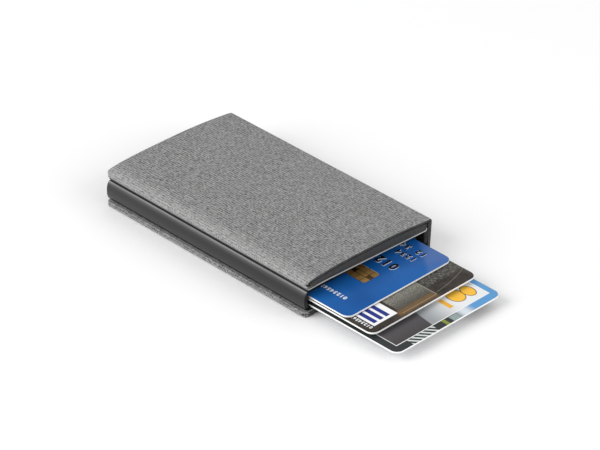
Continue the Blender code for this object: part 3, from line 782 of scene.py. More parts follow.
def half_at(x, nose, radius):
    """Half the cover's length at a place across it, rounded at the nose and eased at the spine."""
    into_nose = max(radius - (x - nose), 0.0)
    into_fold = max(x - SPINE_OUTER + FOLD_EASE, 0.0) / FOLD_EASE
    nose_cut = radius - math.sqrt(max(radius ** 2 - into_nose ** 2, 0.0))
    fold_cut = FOLD_SETBACK * (1 - math.sqrt(max(1 - into_fold ** 2, 0.0)))
    return COVER_HALF - nose_cut - fold_cut


def lip_at(x, nose, fold, full):
    """Depth of a panel's turned ends: shallow beyond its fold and round its nose."""
    deep = 1.0 - ease(x, fold - LIP_CHANGE, fold)
    near_nose = 1.0 - ease(x, nose, nose + LIP_CHANGE)
    lip = SPINE_LIP + (full - SPINE_LIP) * deep
    return lip + (NOSE_LIP - lip) * near_nose


def stations(path, side):
    """Each point of a path with its inward normal and its distance along the path."""
    travelled = 0.0
    found = []
    for i, point in enumerate(path):
        before = Vector(path[max(i - 1, 0)])
        after = Vector(path[min(i + 1, len(path) - 1)])
        along = (after - before).normalized()
        if i:
            travelled += (Vector(point) - Vector(path[i - 1])).length
        found.append((point[0], point[1], -along.y * side, along.x * side, travelled))
    return found


def cloth_section(half, lip):
    """Section of the cloth along the wallet, as (y, depth, unrolled y)."""
    radius = CLOTH_EDGE_RADIUS
    corner = [(-half + radius - radius * math.cos(QUARTER * i / 4),
               radius - radius * math.sin(QUARTER * i / 4)) for i in range(5)]
    section = [(y, d, y - d) for y, d in corner]
    reach = half - radius
    section += [(y, 0.0, y) for y, _ in line((-reach, 0.0), (reach, 0.0), CLOTH_ROWS)[:-1]]
    section += [(-y, d, -y + d) for y, d in corner[::-1]]
    end = [(half, lip - LIP_ROUND), (half - LIP_ROUND, lip), (half - LIP_WALL + LIP_ROUND, lip),
           (half - LIP_WALL, lip - LIP_ROUND), (half - LIP_WALL, CLOTH)]
    section += [(y, d, half + d) for y, d in end]
    section += [(-y, d, -half - d) for y, d in end[::-1]]
    return section


def wave(run, y):
    """How far the cloth lies in from its true surface at a place."""
    value = noise.noise(Vector((run / CLOTH_WAVE_LENGTH, y / CLOTH_WAVE_LENGTH, 0.0)))
    return CLOTH_WAVE * (0.5 + 0.5 * value)


def cloth_piece(name, path, side, nose, radius, fold, full_lip, tuck_z):
    """A stretch of the cover's cloth along a path, with its ends turned in as lips."""
    rings = []
    sections = []
    for x, z, in_x, in_z, run in stations(path, side):
        tucked = side * (tuck_z - z) > 0.0 and x < 0.0
        lip = NOSE_LIP if tucked else lip_at(x, nose, fold, full_lip)
        ring = []
        section = cloth_section(half_at(x, nose, radius), lip)
        for y, d, _ in section:
            depth = d + wave(side * run, y)
            ring.append((x + in_x * depth, y, z + in_z * depth))
        rings.append(ring)
        sections.append([(side * run / MM, v / MM) for _, _, v in section])
    mesh_data = bmesh.new()
    loops = skin(mesh_data, rings)
    place = {vert: uv for ring, section in zip(loops, sections) for vert, uv in zip(ring, section)}
    layer = mesh_data.loops.layers.uv.new("weave")
    for face in mesh_data.faces:
        for corner in face.loops:
            corner[layer].uv = place[corner.vert]
        # Faces at the short ends take the darker copy of the cloth: painted shade.
        at_end = abs(face.normal.y) > END_FACING and face.calc_center_median().x > nose + radius
        face.material_index = 1 if at_end else 0
    made = finish(name, mesh_data, [CLOTH_LOOK, CLOTH_END_PAINTED_SHADE_LOOK])
    return made


def spine_middle():
    """Outer side of the spine half way up, where the two cloths meet on its lean."""
    share = (SPINE_MIDDLE_Z - SPINE_CORNER_RADIUS) / (FOLD_CENTRE_Z - SPINE_CORNER_RADIUS)
    return SPINE_OUTER + SPINE_LEAN * share, SPINE_MIDDLE_Z


def make_flap_cloth():
    """Cloth over the upper half of the spine and the flap, turned in round the nose."""
    path = [spine_middle()]
    path += line(path[0], (SPINE_OUTER + SPINE_LEAN, FOLD_CENTRE_Z), 8)
    fold_turn = math.atan2(FOLD_CENTRE_Z - ARCH_CENTRE_Z, FOLD_CENTRE_X - ARCH_CROWN_X)
    path += arc((FOLD_CENTRE_X, FOLD_CENTRE_Z), FOLD_RADIUS, 0.0, fold_turn, 10)[1:]
    nose = (FLAP_NOSE + FLAP_NOSE_RADIUS, TURN_IN_Z + FLAP_NOSE_RADIUS)
    last = FLAP_NOSE + FLAP_NOSE_RADIUS / 2
    path += [(x, flap_top(x)) for x, _ in line((path[-1][0], 0.0), (last, 0.0), FLAP_STEPS)]
    high_nose = (nose[0], path[-1][1] - FLAP_NOSE_RADIUS * math.sin(4 * QUARTER / 3))
    path += arc(high_nose, FLAP_NOSE_RADIUS, 4 * QUARTER / 3, 2 * QUARTER, 8)[1:]
    path += arc(nose, FLAP_NOSE_RADIUS, 2 * QUARTER, 3 * QUARTER, 10)
    path += line(path[-1], (FLAP_NOSE + TURN_IN, TURN_IN_Z), 8)
    made = cloth_piece("flap_cover_cloth", path, 1, FLAP_NOSE, FLAP_CORNER_RADIUS,
                       SPINE_OUTER - FOLD_RADIUS, FLAP_LIP, nose[1])
    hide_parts("flap_fabric", "spine_fabric")
    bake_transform(made)


def make_back_cloth():
    """Cloth over the lower half of the spine and the back panel, turned in round its nose."""
    corner_x = SPINE_OUTER - SPINE_CORNER_RADIUS
    radius = BACK_TOP / 2
    path = [spine_middle()]
    path += line(path[0], (SPINE_OUTER, SPINE_CORNER_RADIUS), 8)
    path += arc((corner_x, SPINE_CORNER_RADIUS), SPINE_CORNER_RADIUS, 0.0, -QUARTER, 8)[1:]
    path += line(path[-1], (BACK_NOSE + radius, 0.0), BACK_STEPS)
    path += arc((BACK_NOSE + radius, radius), radius, -QUARTER, -3 * QUARTER, 16)[1:]
    path += line(path[-1], (BACK_NOSE + TURN_IN, BACK_TOP), 8)
    made = cloth_piece("back_cover_cloth", path, -1, BACK_NOSE, BACK_CORNER_RADIUS, corner_x,
                       BACK_LIP, radius)
    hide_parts("back_fabric", "spine_fabric")
    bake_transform(made)


# Linings, board and foam

def front_sag(x, y):
    """How far the flap's foam and lining sag at a place, only in front of the case's mouth."""
    return ease(-y, SAG_START, SAG_END) * (SAG_LIFT - SAG_SLOPE * max(x - SAG_FROM_X, 0.0))


def sheet_piece(name, node, path, side, ends, thickness, edge_look, sags=False):
    """A strip of lining along a path, with rounded cut edges of their own colour."""
    edge = SHEET_ROUND
    front, rear = ends
    upper = [(y, 0.0) for y in (front + edge, -SAG_END, -SAG_START, -SAG_START + SAG_MARGIN,
                                rear - edge) if y >= front + edge]
    under = [(y, thickness) for y, _ in upper[::-1]]
    section = [(front, edge)] + upper + [(rear, edge), (rear, thickness - edge)] + under
    section.append((front, thickness - edge))
    rings = [[(x + in_x * d, y, z + in_z * d + (front_sag(x, y) if sags else 0.0)) for y, d in section]
             for x, z, in_x, in_z, _ in stations(path, side)]
    last = len(upper)
    count = len(section)
    made = body(name, rings, [LINING_LOOK, edge_look],
                edge_rows=(0, last, last + 1, last + 2, count - 2, count - 1))
    total = stations(path, side)[-1][4]
    (rear - front) * total
    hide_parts(node)
    return made


def make_flap_lining():
    """Lining under the flap, its pale edge curled up at the spine."""
    bottom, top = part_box("flap_lining")
    centre = (top.x - LINING_SETBACK - LINING_CURL_RADIUS, bottom.z + LINING_CURL_RADIUS)
    path = [(bottom.x, bottom.z)] + line((bottom.x, bottom.z), (centre[0], bottom.z), LINING_STEPS)
    path += arc(centre, LINING_CURL_RADIUS, -QUARTER, QUARTER / 3, 14)[1:]
    made = sheet_piece("flap_lining_sheet", "flap_lining", path, 1, (-FRONT_LINING_END, top.y),
                       FLAP_LINING, LINING_EDGE_LOOK, sags=True)
    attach(made, "flap")


def make_spine_lining():
    """Two lengths of lining that bridge the folds: back panel to spine, and spine to flap."""
    inner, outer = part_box("spine_lining")
    back = high("back_lining")
    flap = high("flap_lining")
    middle = (inner.z + outer.z) / 2
    ends = (inner.y, outer.y)
    seam = inner.x - back.x
    turn = back.z - LINING
    radius = outer.x - back.x - seam / 2
    path = [(outer.x, middle)]
    path += line(path[0], (outer.x, turn + radius), 10)
    path += arc((outer.x - radius, turn + radius), radius, 0.0, -QUARTER, 8)[1:]
    lower_piece = sheet_piece("spine_lining_lower", "spine_lining", path, -1, ends, LINING,
                              LINING_LOOK)
    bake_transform(lower_piece)
    path = [(outer.x, middle)]
    path += line(path[0], (outer.x, outer.z), 10)
    path += line(path[-1], (flap.x + seam + LINING, flap.z + seam / 2), 6)
    upper_piece = sheet_piece("spine_lining_upper", "spine_lining", path, 1, ends, LINING,
                              LINING_LOOK)
    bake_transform(upper_piece)


def make_back_lining():
    """Lining of the back panel, with a window for the adhesive."""
    first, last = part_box("back_lining")
    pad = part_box("adhesive_pad")
    edge = SHEET_ROUND
    gap = first.z - high("back_board").z
    levels = ((edge, last.z), (0.0, last.z - edge), (0.0, first.z + edge), (edge, first.z))
    rings = [plan(first, last, z, gap * 4, 4, -inset) for inset, z in levels]
    rings += [plan(*pad, z, gap * 4, 4, gap + inset) for inset, z in levels[::-1]]
    made = body("back_lining_sheet", rings, [LINING_LOOK], closed=True)
    hand_over(made, "back_lining", "case")


def foam_section(depth, front):
    """Outline of the foam across the wallet; its lower side sags at the flap's front end."""
    bottom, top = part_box("flap_padding")
    top_x = top.x - LINING_SETBACK
    radius = LINING_CURL_RADIUS - FLAP_LINING
    step_x = FLAP_NOSE + TURN_IN + FOAM_ROUND
    step_z = bottom.z + CLOTH + FOAM_ROUND
    section = [(bottom.x, step_z)] + line((bottom.x, step_z), (step_x, step_z), 6)
    section += line(section[-1], (step_x, bottom.z), 2)
    section += line(section[-1], (top_x - radius, bottom.z), FOAM_UNDER_STEPS)
    section += arc((top_x - radius, bottom.z + radius), radius, -QUARTER, 0.0, 6)[1:]
    count = len(section)
    section += [(x, flap_top(x, depth))
                for x, _ in line((top_x, 0.0), (bottom.x, 0.0), FOAM_TOP_STEPS)]
    if not front:
        return section
    return [(x, z + front_sag(x, -SAG_END)) if i < count and x > step_x
            else (x, z - FOAM_FALL * max(x - FOAM_FALL_FROM_X, 0.0))
            for i, (x, z) in enumerate(section)]


def make_foam():
    """Foam that fills the arch, its ends a little crowned."""
    bottom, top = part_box("flap_padding")
    middle = (bottom + top) / 2
    plain = foam_section(FOAM_DEPTH, False)
    front = foam_section(FRONT_FOAM_DEPTH, True)
    slight = FOAM_ROUND / 3
    rings = []
    for y, inset, section in (
            (-FRONT_FOAM_END, FOAM_ROUND, front), (-FRONT_FOAM_END + slight / 2, slight, front),
            (-SAG_END, 0.0, front), (-SAG_START, 0.0, plain), (-SAG_START + SAG_MARGIN, 0.0, plain),
            (top.y - FOAM_ROUND, 0.0, plain), (top.y - slight, slight, plain),
            (top.y, FOAM_ROUND, plain)):
        across = 1 - inset / (top.x - middle.x)
        upright = 1 - inset / (top.z - middle.z)
        rings.append([(middle.x + (x - middle.x) * across, y, middle.z + (z - middle.z) * upright)
                      for x, z in section])
    made = body("flap_foam", rings, [FOAM_LOOK])
    hand_over(made, "flap_padding", "flap")


# Card case and what is in it

def case_outline(shrink):
    """Outside of the case: flat top and bottom, bulged sides."""
    half_height = (CASE_HIGH.z - CASE_LOW.z) / 2 - shrink
    middle = (CASE_HIGH.z + CASE_LOW.z) / 2
    bulge = CASE_SIDE_ROUNDING - shrink
    points = []
    for side, end in ((1, CASE_HIGH.x), (-1, CASE_LOW.x)):
        edge = end - side * CASE_SIDE_ROUNDING
        for i in range(CASE_SIDE_STEPS + 1):
            turn = -QUARTER + math.pi * i / CASE_SIDE_STEPS
            across = bulge * max(math.cos(turn), 0.0) ** (2 / CASE_SIDE_POWER)
            rise = math.copysign(abs(math.sin(turn)) ** (2 / CASE_SIDE_POWER), turn)
            points.append((edge + side * across, middle + side * half_height * rise))
    return points


def case_bore(grow):
    """Inside of the case, with as many points as the outside, right side first."""
    steps = (CASE_SIDE_STEPS - 1) // 2
    points = rounded_box(CASE_LOW.x + CASE_SIDE_WALL - grow, CASE_HIGH.x - CASE_SIDE_WALL + grow,
                         CASE_LOW.z + CASE_WALL - grow, CASE_HIGH.z - CASE_WALL + grow,
                         CASE_BORE_RADIUS, steps)
    start = 3 * (steps + 1)
    return points[start:] + points[:start]


def pivot_ring(radius, z):
    """Points of a circle round the lever's pin."""
    return [(x, y, z) for x, y in arc((PIVOT.x, PIVOT.y), radius, 0.0, 4 * QUARTER, RIVET_STEPS)[:-1]]


def make_case_tube():
    """Extruded card case with a broken rim and the two rivet holes."""
    turns = [QUARTER * i / CASE_RIM_STEPS for i in range(CASE_RIM_STEPS + 1)]
    rim = [(CASE_RIM * (1 - math.sin(turn)), CASE_RIM * (1 - math.cos(turn))) for turn in turns]
    ends = [(CASE_LOW.y + into, shrink) for into, shrink in rim]
    ends += [(CASE_HIGH.y - into, shrink) for into, shrink in rim]
    ends = sorted(ends)
    rings = [[(x, y, z) for x, z in case_outline(shrink)] for y, shrink in ends]
    rings += [[(x, y, z) for x, z in case_bore(shrink)] for y, shrink in ends[::-1]]
    made = body("case_tube", rings, [CASE_LOOK], closed=True)
    levels = (0.0, CASE_HIGH.z + CASE_LOW.z)
    cut_away(made, "rivet_holes", [pivot_ring(RIVET_HOLE_RADIUS, z) for z in levels])
    # End faces take the darker copy of the finish: painted shade.
    dress_faces(made, [CASE_LOOK, CASE_END_PAINTED_SHADE_LOOK], lambda face: int(abs(face.normal.y) > CASE_END_FACING))
    hand_over(made, "case_shell", "case")


def make_rivet():
    """Pivot rivet with lightly domed ends."""
    first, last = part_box("pivot_rivet")
    radius = (last.x - first.x) / 2
    turns = [QUARTER * i / 6 for i in range(6)]
    profile = [(radius * math.cos(turn), RIVET_DOME * (1 - math.sin(turn))) for turn in turns]
    rings = [pivot_ring(reach, first.z + drop) for reach, drop in profile[::-1]]
    rings += [pivot_ring(reach, last.z - drop) for reach, drop in profile]
    made = body("turned_rivet", rings, [STEEL_LOOK])
    hand_over(made, "pivot_rivet", "case")


def make_moulding(name, node, body_name):
    """A moulded piece with the soft edges that its tool leaves."""
    mesh_data = bmesh.new()
    mesh_data.from_mesh(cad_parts[node].data)
    bmesh.ops.remove_doubles(mesh_data, verts=mesh_data.verts, dist=WELD)
    bmesh.ops.dissolve_limit(mesh_data, angle_limit=math.radians(1), verts=mesh_data.verts,
                             edges=mesh_data.edges)
    bmesh.ops.recalc_face_normals(mesh_data, faces=mesh_data.faces)
    made = finish(name, mesh_data, [MOULDED_LOOK])
    soften = made.modifiers.new("soft_edges", "BEVEL")
    soften.width = MOULDED_EDGE
    soften.segments = 2
    soften.limit_method = "ANGLE"
    soften.angle_limit = SHARP_ANGLE
    settle(made)
    hand_over(made, node, body_name)


def make_felt():
    """Felt strip with an uneven pile."""
    first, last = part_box("felt_strip")
    inset = FELT_PILE
    outline = rounded_box(first.x + inset, last.x - inset, first.z + inset, last.z - inset, inset, 3)
    rings = []
    for i in range(FELT_ROWS + 1):
        y = first.y + inset + (last.y - first.y - 2 * inset) * i / FELT_ROWS
        rings.append([(x, y, z) for x, z in outline])
    mesh_data = bmesh.new()
    skin(mesh_data, rings)
    mesh_data.normal_update()
    for vert in mesh_data.verts:
        vert.co += vert.normal * inset * FELT_LOOSENESS * abs(noise.noise(vert.co / (2 * inset)))
    made = finish("felt_friction_strip", mesh_data, [FELT_LOOK])
    hand_over(made, "felt_strip", "case")


# Cards

def lay(place, colour, tone, area, soft=0.05, shown=1.0, shape=PATCH):
    """A colour with a printed tone laid over it in an area, as a rectangle or an ellipse."""
    left, right, front, rear = area
    mask = use_group(shape, place, Soft=soft, Centre=((left + right) / 2, (front + rear) / 2, 0.0),
                     Half=((right - left) / 2, (rear - front) / 2, 1.0))[0]
    return blend(mask * shown, colour, tone)


def overprint(place, colour, *rows):
    """A colour with tones laid over it one after the other: tone, area, softness and strength."""
    for row in rows:
        colour = lay(place, colour, *row)
    return colour


def start_print(name, which):
    """A laminated print: its material, its shader, and the place on its card in millimetres."""
    look, tree, shader = start_material(name, roughness=0.36, specular_ior_level=0.14)
    first = low("card_" + which)
    place = object_place(tree, shift=(-first.x / MM, -first.y / MM, 0.0))
    relief(shader, noise_at(place, 1.6, 3.0, 0.6), 0.004 * MM, 0.4)
    return look, shader, place


def blue_print():
    """Blue card: deep blue, paler and more violet beyond a slanting line at one corner."""
    look, shader, place = start_print("blue_card_print", "top")
    colour = blend(rescale(noise_at(place, 0.05), 0.35, 0.65), (0.005, 0.078, 0.295),
                   (0.011, 0.108, 0.370))
    beyond = compute("DOT_PRODUCT", place - BLUE_CORNER, BLUE_ACROSS, out="Value")
    paint(shader, rescale(beyond, -1.2, 1.2, smooth=True), colour, (0.050, 0.135, 0.385))
    return look


def brown_print():
    """Dark brown card: a framed olive panel, a white label with plain bars, and a fine mottle."""
    look, shader, place = start_print("brown_card_print", "middle")
    x, y, _ = axes(place)
    colour = blend(rescale(noise_at(place, 0.25, 4.0, 0.6), 0.35, 0.65), (0.024, 0.020, 0.016),
                   (0.058, 0.047, 0.040))
    town = rescale(noise_at(place * (2.4, 0.7, 0.0), 1.0, 3.0, 0.7), 0.47, 0.6)
    panel = blend(rescale(y, 2.5, 14.0), (0.040, 0.035, 0.026), (0.36, 0.35, 0.30))
    speckle = rescale(noise_at(place, 2.2, 3.0, 0.7), 0.44, 0.56, 0.0, 0.62)
    panel = blend(speckle, panel, (0.03, 0.028, 0.024))
    embers = rescale(noise_at(place, 3.4, 4.0, 0.8), 0.40, 0.62, 0.1, 0.9)
    colour = overprint(place, colour,
                       ((0.17, 0.17, 0.155), BROWN_TOWN, 1.2, town),
                       ((0.30, 0.29, 0.26), BROWN_FRAME, 0.06),
                       (panel, BROWN_PANEL, 0.06),
                       ((0.30, 0.165, 0.055), BROWN_EMBERS, 1.3, embers))
    bow = compute("POWER", x - BOW_MIDDLE, 2.0) * BOW_BEND + BOW_FRONT
    near = compute("ABSOLUTE", y - bow)
    curve = rescale(near, 0.08, 0.22, 1.0, 0.0) * rescale(x, 35.6, 36.4)
    colour = blend(curve * 0.4, colour, (0.32, 0.31, 0.28))
    colour = lay(place, colour, (0.88, 0.88, 0.88), BROWN_LABEL)
    for bar in BROWN_BARS:
        colour = lay(place, colour, (0.02, 0.035, 0.22), bar)
    put(shader["Base Color"], colour)
    return look


def grey_print():
    """Grey card: a framed picture of plain fields and discs inside a banded border."""
    look, shader, place = start_print("grey_card_print", "bottom")
    x, y, _ = axes(place)
    colour = blend(rescale(x, 33.0, 42.0, smooth=True), (0.034, 0.040, 0.040), (0.115, 0.325, 0.62))
    haze = rescale(compute("ABSOLUTE", x - 36.5), 0.5, 5.0, 1.0, 0.0, smooth=True)
    colour = blend(haze, colour, (0.66, 0.72, 0.78))
    bands = rescale(compute("FRACT", (x + y * 0.8) * 0.42), 0.5, 0.56)
    field = blend(rescale(x, 22.0, 40.0, smooth=True), (0.30, 0.315, 0.33), (0.80, 0.81, 0.82))
    dusk = blend(rescale(y, 3.0, 14.0), (0.055, 0.050, 0.052), (0.10, 0.095, 0.10))
    field = blend(rescale(x - y * 0.15, 21.2, 21.5), dusk, field)
    colour = overprint(place, colour,
                       ((0.62, 0.66, 0.64), GREY_BANDS, 0.1, bands),
                       ((0.22, 0.27, 0.05), GREY_LEAF, 0.1),
                       ((0.28, 0.36, 0.35), GREY_MIST, 0.4),
                       ((0.85, 0.86, 0.86), GREY_FRAME),
                       (field, GREY_PICTURE),
                       ((0.78, 0.42, 0.05), GREY_POST, 0.1))
    for left, right, front, rear in GREY_DISCS:
        inside = (left + DISC_RIM, right - DISC_RIM, front + DISC_RIM, rear - DISC_RIM)
        colour = overprint(place, colour,
                           ((0.09, 0.06, 0.04), (left, right, front, rear), DISC_SOFT, 1.0, DISC),
                           ((0.93, 0.52, 0.06), inside, DISC_SOFT, 1.0, DISC))
    put(shader["Base Color"], colour)
    return look


def card_back_look(which):
    """Back of a card: plain pale grey with a dark magnetic stripe."""
    look, shader, place = start_print("card_back_" + which, which)
    colour = blend(rescale(noise_at(place, 0.08), 0.3, 0.7), (0.55, 0.56, 0.58), (0.66, 0.67, 0.69))
    put(shader["Base Color"], lay(place, colour, (0.02, 0.018, 0.018), STRIPE))
    return look


def shape(kind, inputs, **settings):
    """First output of a new geometry node, beside the nodes that it is linked to."""
    tree = tree_of(inputs.values())
    return Signal(add(tree, "GeometryNode" + kind, inputs, **settings).outputs[0])


def join(parts):
    """Several geometries as one."""
    made = add(parts[0].tree, "GeometryNodeJoinGeometry", {})
    for part in parts:
        put(made.inputs[0], part)
    return Signal(made.outputs[0])


def rounded_slab(width, length, radius, height):
    """Geometry nodes for a closed rounded slab that stands on its own middle."""
    outline = shape("CurvePrimitiveQuadrilateral", {"Width": width, "Height": length})
    soft = shape("FilletCurve", {"Curve": outline, "Radius": radius, "Count": 3}, mode="POLY")
    base = shape("FillCurve", {"Curve": soft}, mode="NGONS")
    raised = shape("ExtrudeMesh", {"Mesh": base, "Offset Scale": height, "Individual": False})
    both = join([raised, shape("FlipFaces", {"Mesh": base})])
    return shape("MergeByDistance", {"Geometry": both, "Distance": WELD})


def make_pads_tree():
    """Geometry nodes for a contact plate's pads: a column on each side and a larger one between."""
    tree, (width, length, gap, height, rows, side_share), sink = start_group(
        "contact_pads",
        {"Width": "Float", "Length": "Float", "Gap": "Float", "Height": "Float", "Rows": "Int",
         "Side share": "Float"},
        {"Pads": "Geometry"}, kind="GeometryNodeTree")
    tree.is_modifier = True
    pitch = (length + gap) / rows
    pad_length = pitch - gap
    pad_width = width * side_share
    pad = rounded_slab(pad_width, pad_length, gap, height)
    side = (width - pad_width) * 0.5
    front = (pad_length - length) * 0.5
    parts = []
    for turn in (1.0, -1.0):
        column = shape("MeshLine", {"Count": rows, "Start Location": spot(side * turn, front),
                                    "Offset": spot(0.0, pitch)})
        parts.append(shape("InstanceOnPoints", {"Points": column, "Instance": pad}))
    inner_width = width - (pad_width + gap) * 2.0
    parts.append(rounded_slab(inner_width, length - pitch * 2.0, gap, height))
    whole = shape("RealizeInstances", {0: join(parts)})
    put(sink["Pads"], shape("SetMaterial", {"Geometry": whole, "Material": GOLD_LOOK}))
    return tree


def pads_mesh(tree, width, length):
    """The pads of one contact plate as a plain mesh round the origin."""
    holder = place_object("pads", bpy.data.meshes.new("pads"))
    made = holder.modifiers.new("pads", "NODES")
    made.node_group = tree
    values = {"Width": width, "Length": length, "Gap": CHIP_PAD_GAP, "Height": CHIP_PAD_HEIGHT,
              "Rows": CHIP_ROWS, "Side share": CHIP_PAD_SHARE}
    for item in tree.interface.items_tree:
        if item.in_out == "INPUT":
            made[item.identifier] = values[item.name]
    return take_mesh(holder)


def append_mesh(mesh_data, mesh):
    """Add a mesh to a bmesh and give its vertices there."""
    start = len(mesh_data.verts)
    mesh_data.from_mesh(mesh)
    mesh_data.verts.ensure_lookup_table()
    return mesh_data.verts[start:]


def make_chip(which):
    """Contact plate with eight raised pads round a middle one."""
    first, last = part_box("chip_" + which)
    base_top = last.z - CHIP_PAD_HEIGHT
    size = last - first
    mesh_data = bmesh.new()
    skin(mesh_data, [plan(first, last, first.z, CHIP_CORNER_RADIUS, CHIP_CORNER_STEPS),
                     plan(first, last, base_top - CARD_EDGE / 2, CHIP_CORNER_RADIUS,
                          CHIP_CORNER_STEPS),
                     plan(first, last, base_top, CHIP_CORNER_RADIUS - CARD_EDGE,
                          CHIP_CORNER_STEPS, -CARD_EDGE)])
    pads = pads_mesh(PADS, size.x - 2 * CHIP_BORDER, size.y - 2 * CHIP_BORDER)
    pad_verts = set(append_mesh(mesh_data, pads))
    for vert in pad_verts:
        vert.co += Vector(((first.x + last.x) / 2, (first.y + last.y) / 2, base_top))
    for face in mesh_data.faces:
        face.material_index = 0 if pad_verts.issuperset(face.verts) else 1
    made = finish("contact_plate_" + which, mesh_data, [GOLD_LOOK, GOLD_BASE_LOOK])
    hand_over(made, "chip_" + which, which + "_card")


def make_card(which, front_look):
    """Laminated card: white core, printed face, milled pocket and its contact plate."""
    first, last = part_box("card_" + which)
    bevel = ((CARD_EDGE, 0.0), (CARD_EDGE * 0.3, CARD_EDGE * 0.3), (0.0, CARD_EDGE))
    levels = [(inset, first.z + rise) for inset, rise in bevel]
    levels += [(inset, last.z - rise) for inset, rise in bevel[::-1]]
    made = body("printed_card_" + which, [plan(first, last, z, CARD_CORNER_RADIUS - inset,
                                               CARD_CORNER_STEPS, -inset) for inset, z in levels],
                [CORE_LOOK])
    cut_away(made, "chip_pocket", [plan(*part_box("chip_" + which), z, CHIP_CORNER_RADIUS + CHIP_FIT,
                                        CHIP_CORNER_STEPS, CHIP_FIT)
                                   for z in (last.z - CHIP_POCKET, last.z + MM)])

    def side_of(face):
        """0 for the core, 1 for the printed face, 2 for the back."""
        if face.center.z > last.z - CARD_EDGE / 4 and face.normal.z > 0.9:
            return 1
        return 2 if face.center.z < first.z + CARD_EDGE / 4 else 0

    dress_faces(made, [CORE_LOOK, front_look, card_back_look(which)], side_of)
    hand_over(made, "card_" + which, which + "_card")
    make_chip(which)


def digit_mesh(figure, height):
    """One figure, standing on its base line, as a flat outline of a given height."""
    curve = bpy.data.curves.new("figure_" + figure, "FONT")
    curve.body = figure
    curve.resolution_u = DIGIT_CURVE_STEPS
    curve.extrude = 0.5
    curve.offset = DIGIT_WEIGHT
    mesh = take_mesh(place_object("figure_" + figure, curve))
    across = [vert.co.x for vert in mesh.vertices]
    upright = [vert.co.y for vert in mesh.vertices]
    middle = (min(across) + max(across)) / 2
    lowest = min(upright)
    scale = height / (max(upright) - lowest)
    for vert in mesh.vertices:
        vert.co = ((vert.co.x - middle) * scale, (vert.co.y - lowest) * scale, vert.co.z + 0.5)
    return mesh


def make_numbers(name, which, figures, height, pitch, from_side, from_front, raised, looks):
    """A row of figures along a card, read from its front end, their tops towards its left side."""
    first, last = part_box("card_" + which)
    mesh_data = bmesh.new()
    for i, figure in enumerate(figures):
        if figure == " ":
            continue
        for vert in append_mesh(mesh_data, digit_mesh(figure, height * MM)):
            along, up, deep = vert.co
            vert.co = (first.x + from_side * MM - up, first.y + (from_front + pitch * i) * MM + along,
                       last.z + raised * MM * deep)
    bmesh.ops.remove_doubles(mesh_data, verts=mesh_data.verts, dist=WELD)
    bmesh.ops.recalc_face_normals(mesh_data, faces=mesh_data.faces)
    mesh_data.normal_update()
    for face in mesh_data.faces:
        # Sides take the last look; on raised rows that is the pale ink, a painted highlight.
        face.material_index = 0 if face.normal.z > 0.5 else len(looks) - 1
    made = finish(name, mesh_data, looks)
    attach(made, which + "_card")


# Studio

def seen_or_mirrored(tree):
    """1 for rays from the camera and those mirrored or let through, 0 for the light's own."""
    camera, mirror, glass = (source(tree, "LightPath", "Is %s Ray" % ray)
                             for ray in ("Camera", "Glossy", "Transmission"))
    return compute("MAXIMUM", compute("MAXIMUM", camera, mirror), glass)


def make_floor():
    """Pale floor that shows as white and keeps the wallet's soft shadow."""
    look, tree, shader = start_material("studio_floor", roughness=0.9, specular_ior_level=0.1)
    paint(shader, seen_or_mirrored(tree), (0.88, 0.88, 0.88), (1.0, 1.0, 1.0))
    mesh_data = bmesh.new()
    bmesh.ops.create_grid(mesh_data, x_segments=1, y_segments=1, size=FLOOR_HALF)
    floor = finish("studio_floor", mesh_data, [look])
    floor.location.z = -FLOOR_DROP


def make_world():
    """Soft even surround, white where it is seen or mirrored."""
    world = bpy.data.worlds.new("studio")
    world.use_nodes = True
    bpy.context.scene.world = world
    background = world.node_tree.nodes["Background"].inputs
    put(background["Color"], (1.0, 1.0, 1.0))
    put(background["Strength"], rescale(seen_or_mirrored(world.node_tree), 0.0, 1.0, SURROUND, 1.0))


def aim(made, direction, distance):
    """Place a lamp or camera at a distance from the picture's middle, turned towards it."""
    away = Vector(direction).normalized()
    made.location = Vector(CAMERA_TARGET) + away * distance
    made.rotation_euler = away.to_track_quat("Z", "Y").to_euler()


def make_lamp(name, direction, size, power):
    """A square soft lamp that shines at the wallet; the white surround alone is mirrored."""
    data = bpy.data.lights.new(name, "AREA")
    data.size = size
    data.energy = power
    lamp = place_object(name, data)
    lamp.visible_glossy = False
    aim(lamp, direction, LAMP_DISTANCE)


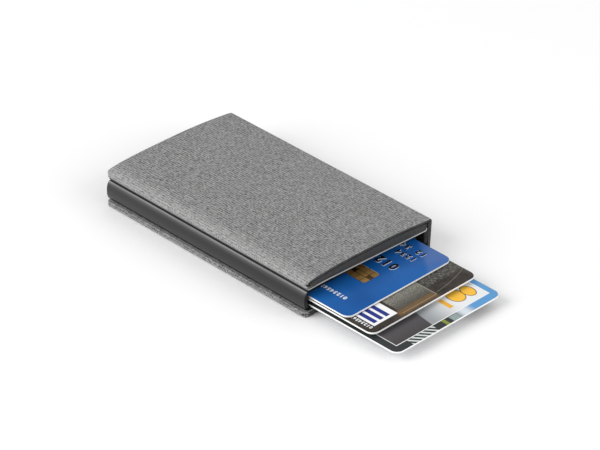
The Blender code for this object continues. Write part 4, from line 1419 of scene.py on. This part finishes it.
def make_camera():
    """Camera at the photograph's angle, aimed at the middle of the picture."""
    data = bpy.data.cameras.new("camera")
    data.lens = CAMERA_LENS
    data.sensor_width = CAMERA_SENSOR
    camera = place_object("camera", data)
    aim(camera, (math.sin(CAMERA_AZIMUTH) * math.cos(CAMERA_ELEVATION),
                 -math.cos(CAMERA_AZIMUTH) * math.cos(CAMERA_ELEVATION),
                 math.sin(CAMERA_ELEVATION)), CAMERA_DISTANCE)
    bpy.context.scene.camera = camera


def dress_solids():
    """Procedural finishes for the CAD nodes that stay."""
    for node, look in (("guide_rail", MOULDED_LOOK), ("flap_board", BOARD_LOOK),
                       ("back_board", BOARD_LOOK), ("adhesive_pad", FILM_LOOK)):
        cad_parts[node].data.materials.clear()
        give_looks(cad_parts[node].data, [look])


# Raised numbers: dark foil on top, sides in the pale ink as a painted highlight.
RAISED = [DARK_INK, PALE_INK_AND_PAINTED_HIGHLIGHT]
PRINTED = [PALE_INK_AND_PAINTED_HIGHLIGHT]

# Rows of figures, in millimetres: height, pitch, place from left side and front end, relief
NUMBERS = (
    ("raised_number", "top", "0123 4567 8901 2345", 4.3, 3.6, 37.2, 11.4, 0.26, RAISED),
    ("raised_small_number", "top", "1234 567 890", 2.7, 2.5, 44.9, 9.8, 0.24, RAISED),
    ("raised_short_number", "top", "12 345", 2.7, 2.6, 49.6, 9.2, 0.24, RAISED),
    ("printed_number_blue", "top", "0123456789", 1.9, 1.65, 9.2, 9.6, 0.03, PRINTED),
    ("printed_number_brown", "middle", "01234567", 1.6, 1.35, 3.6, 3.6, 0.03, PRINTED),
)

PADS = make_pads_tree()
make_flap_cloth()
make_back_cloth()
make_flap_lining()
make_spine_lining()
make_back_lining()
make_foam()
make_case_tube()
make_rivet()
make_moulding("end_cap_moulding", "end_cap", "case")
make_moulding("stepped_lever_moulding", "ejector_lever", "lever")
make_felt()
make_card("top", blue_print())
make_card("middle", brown_print())
make_card("bottom", grey_print())
for row in NUMBERS:
    make_numbers(*row)
dress_solids()
make_floor()
make_world()
for row in LAMPS:
    make_lamp(*row)
make_camera()
bpy.context.scene.view_settings.view_transform = "Standard"
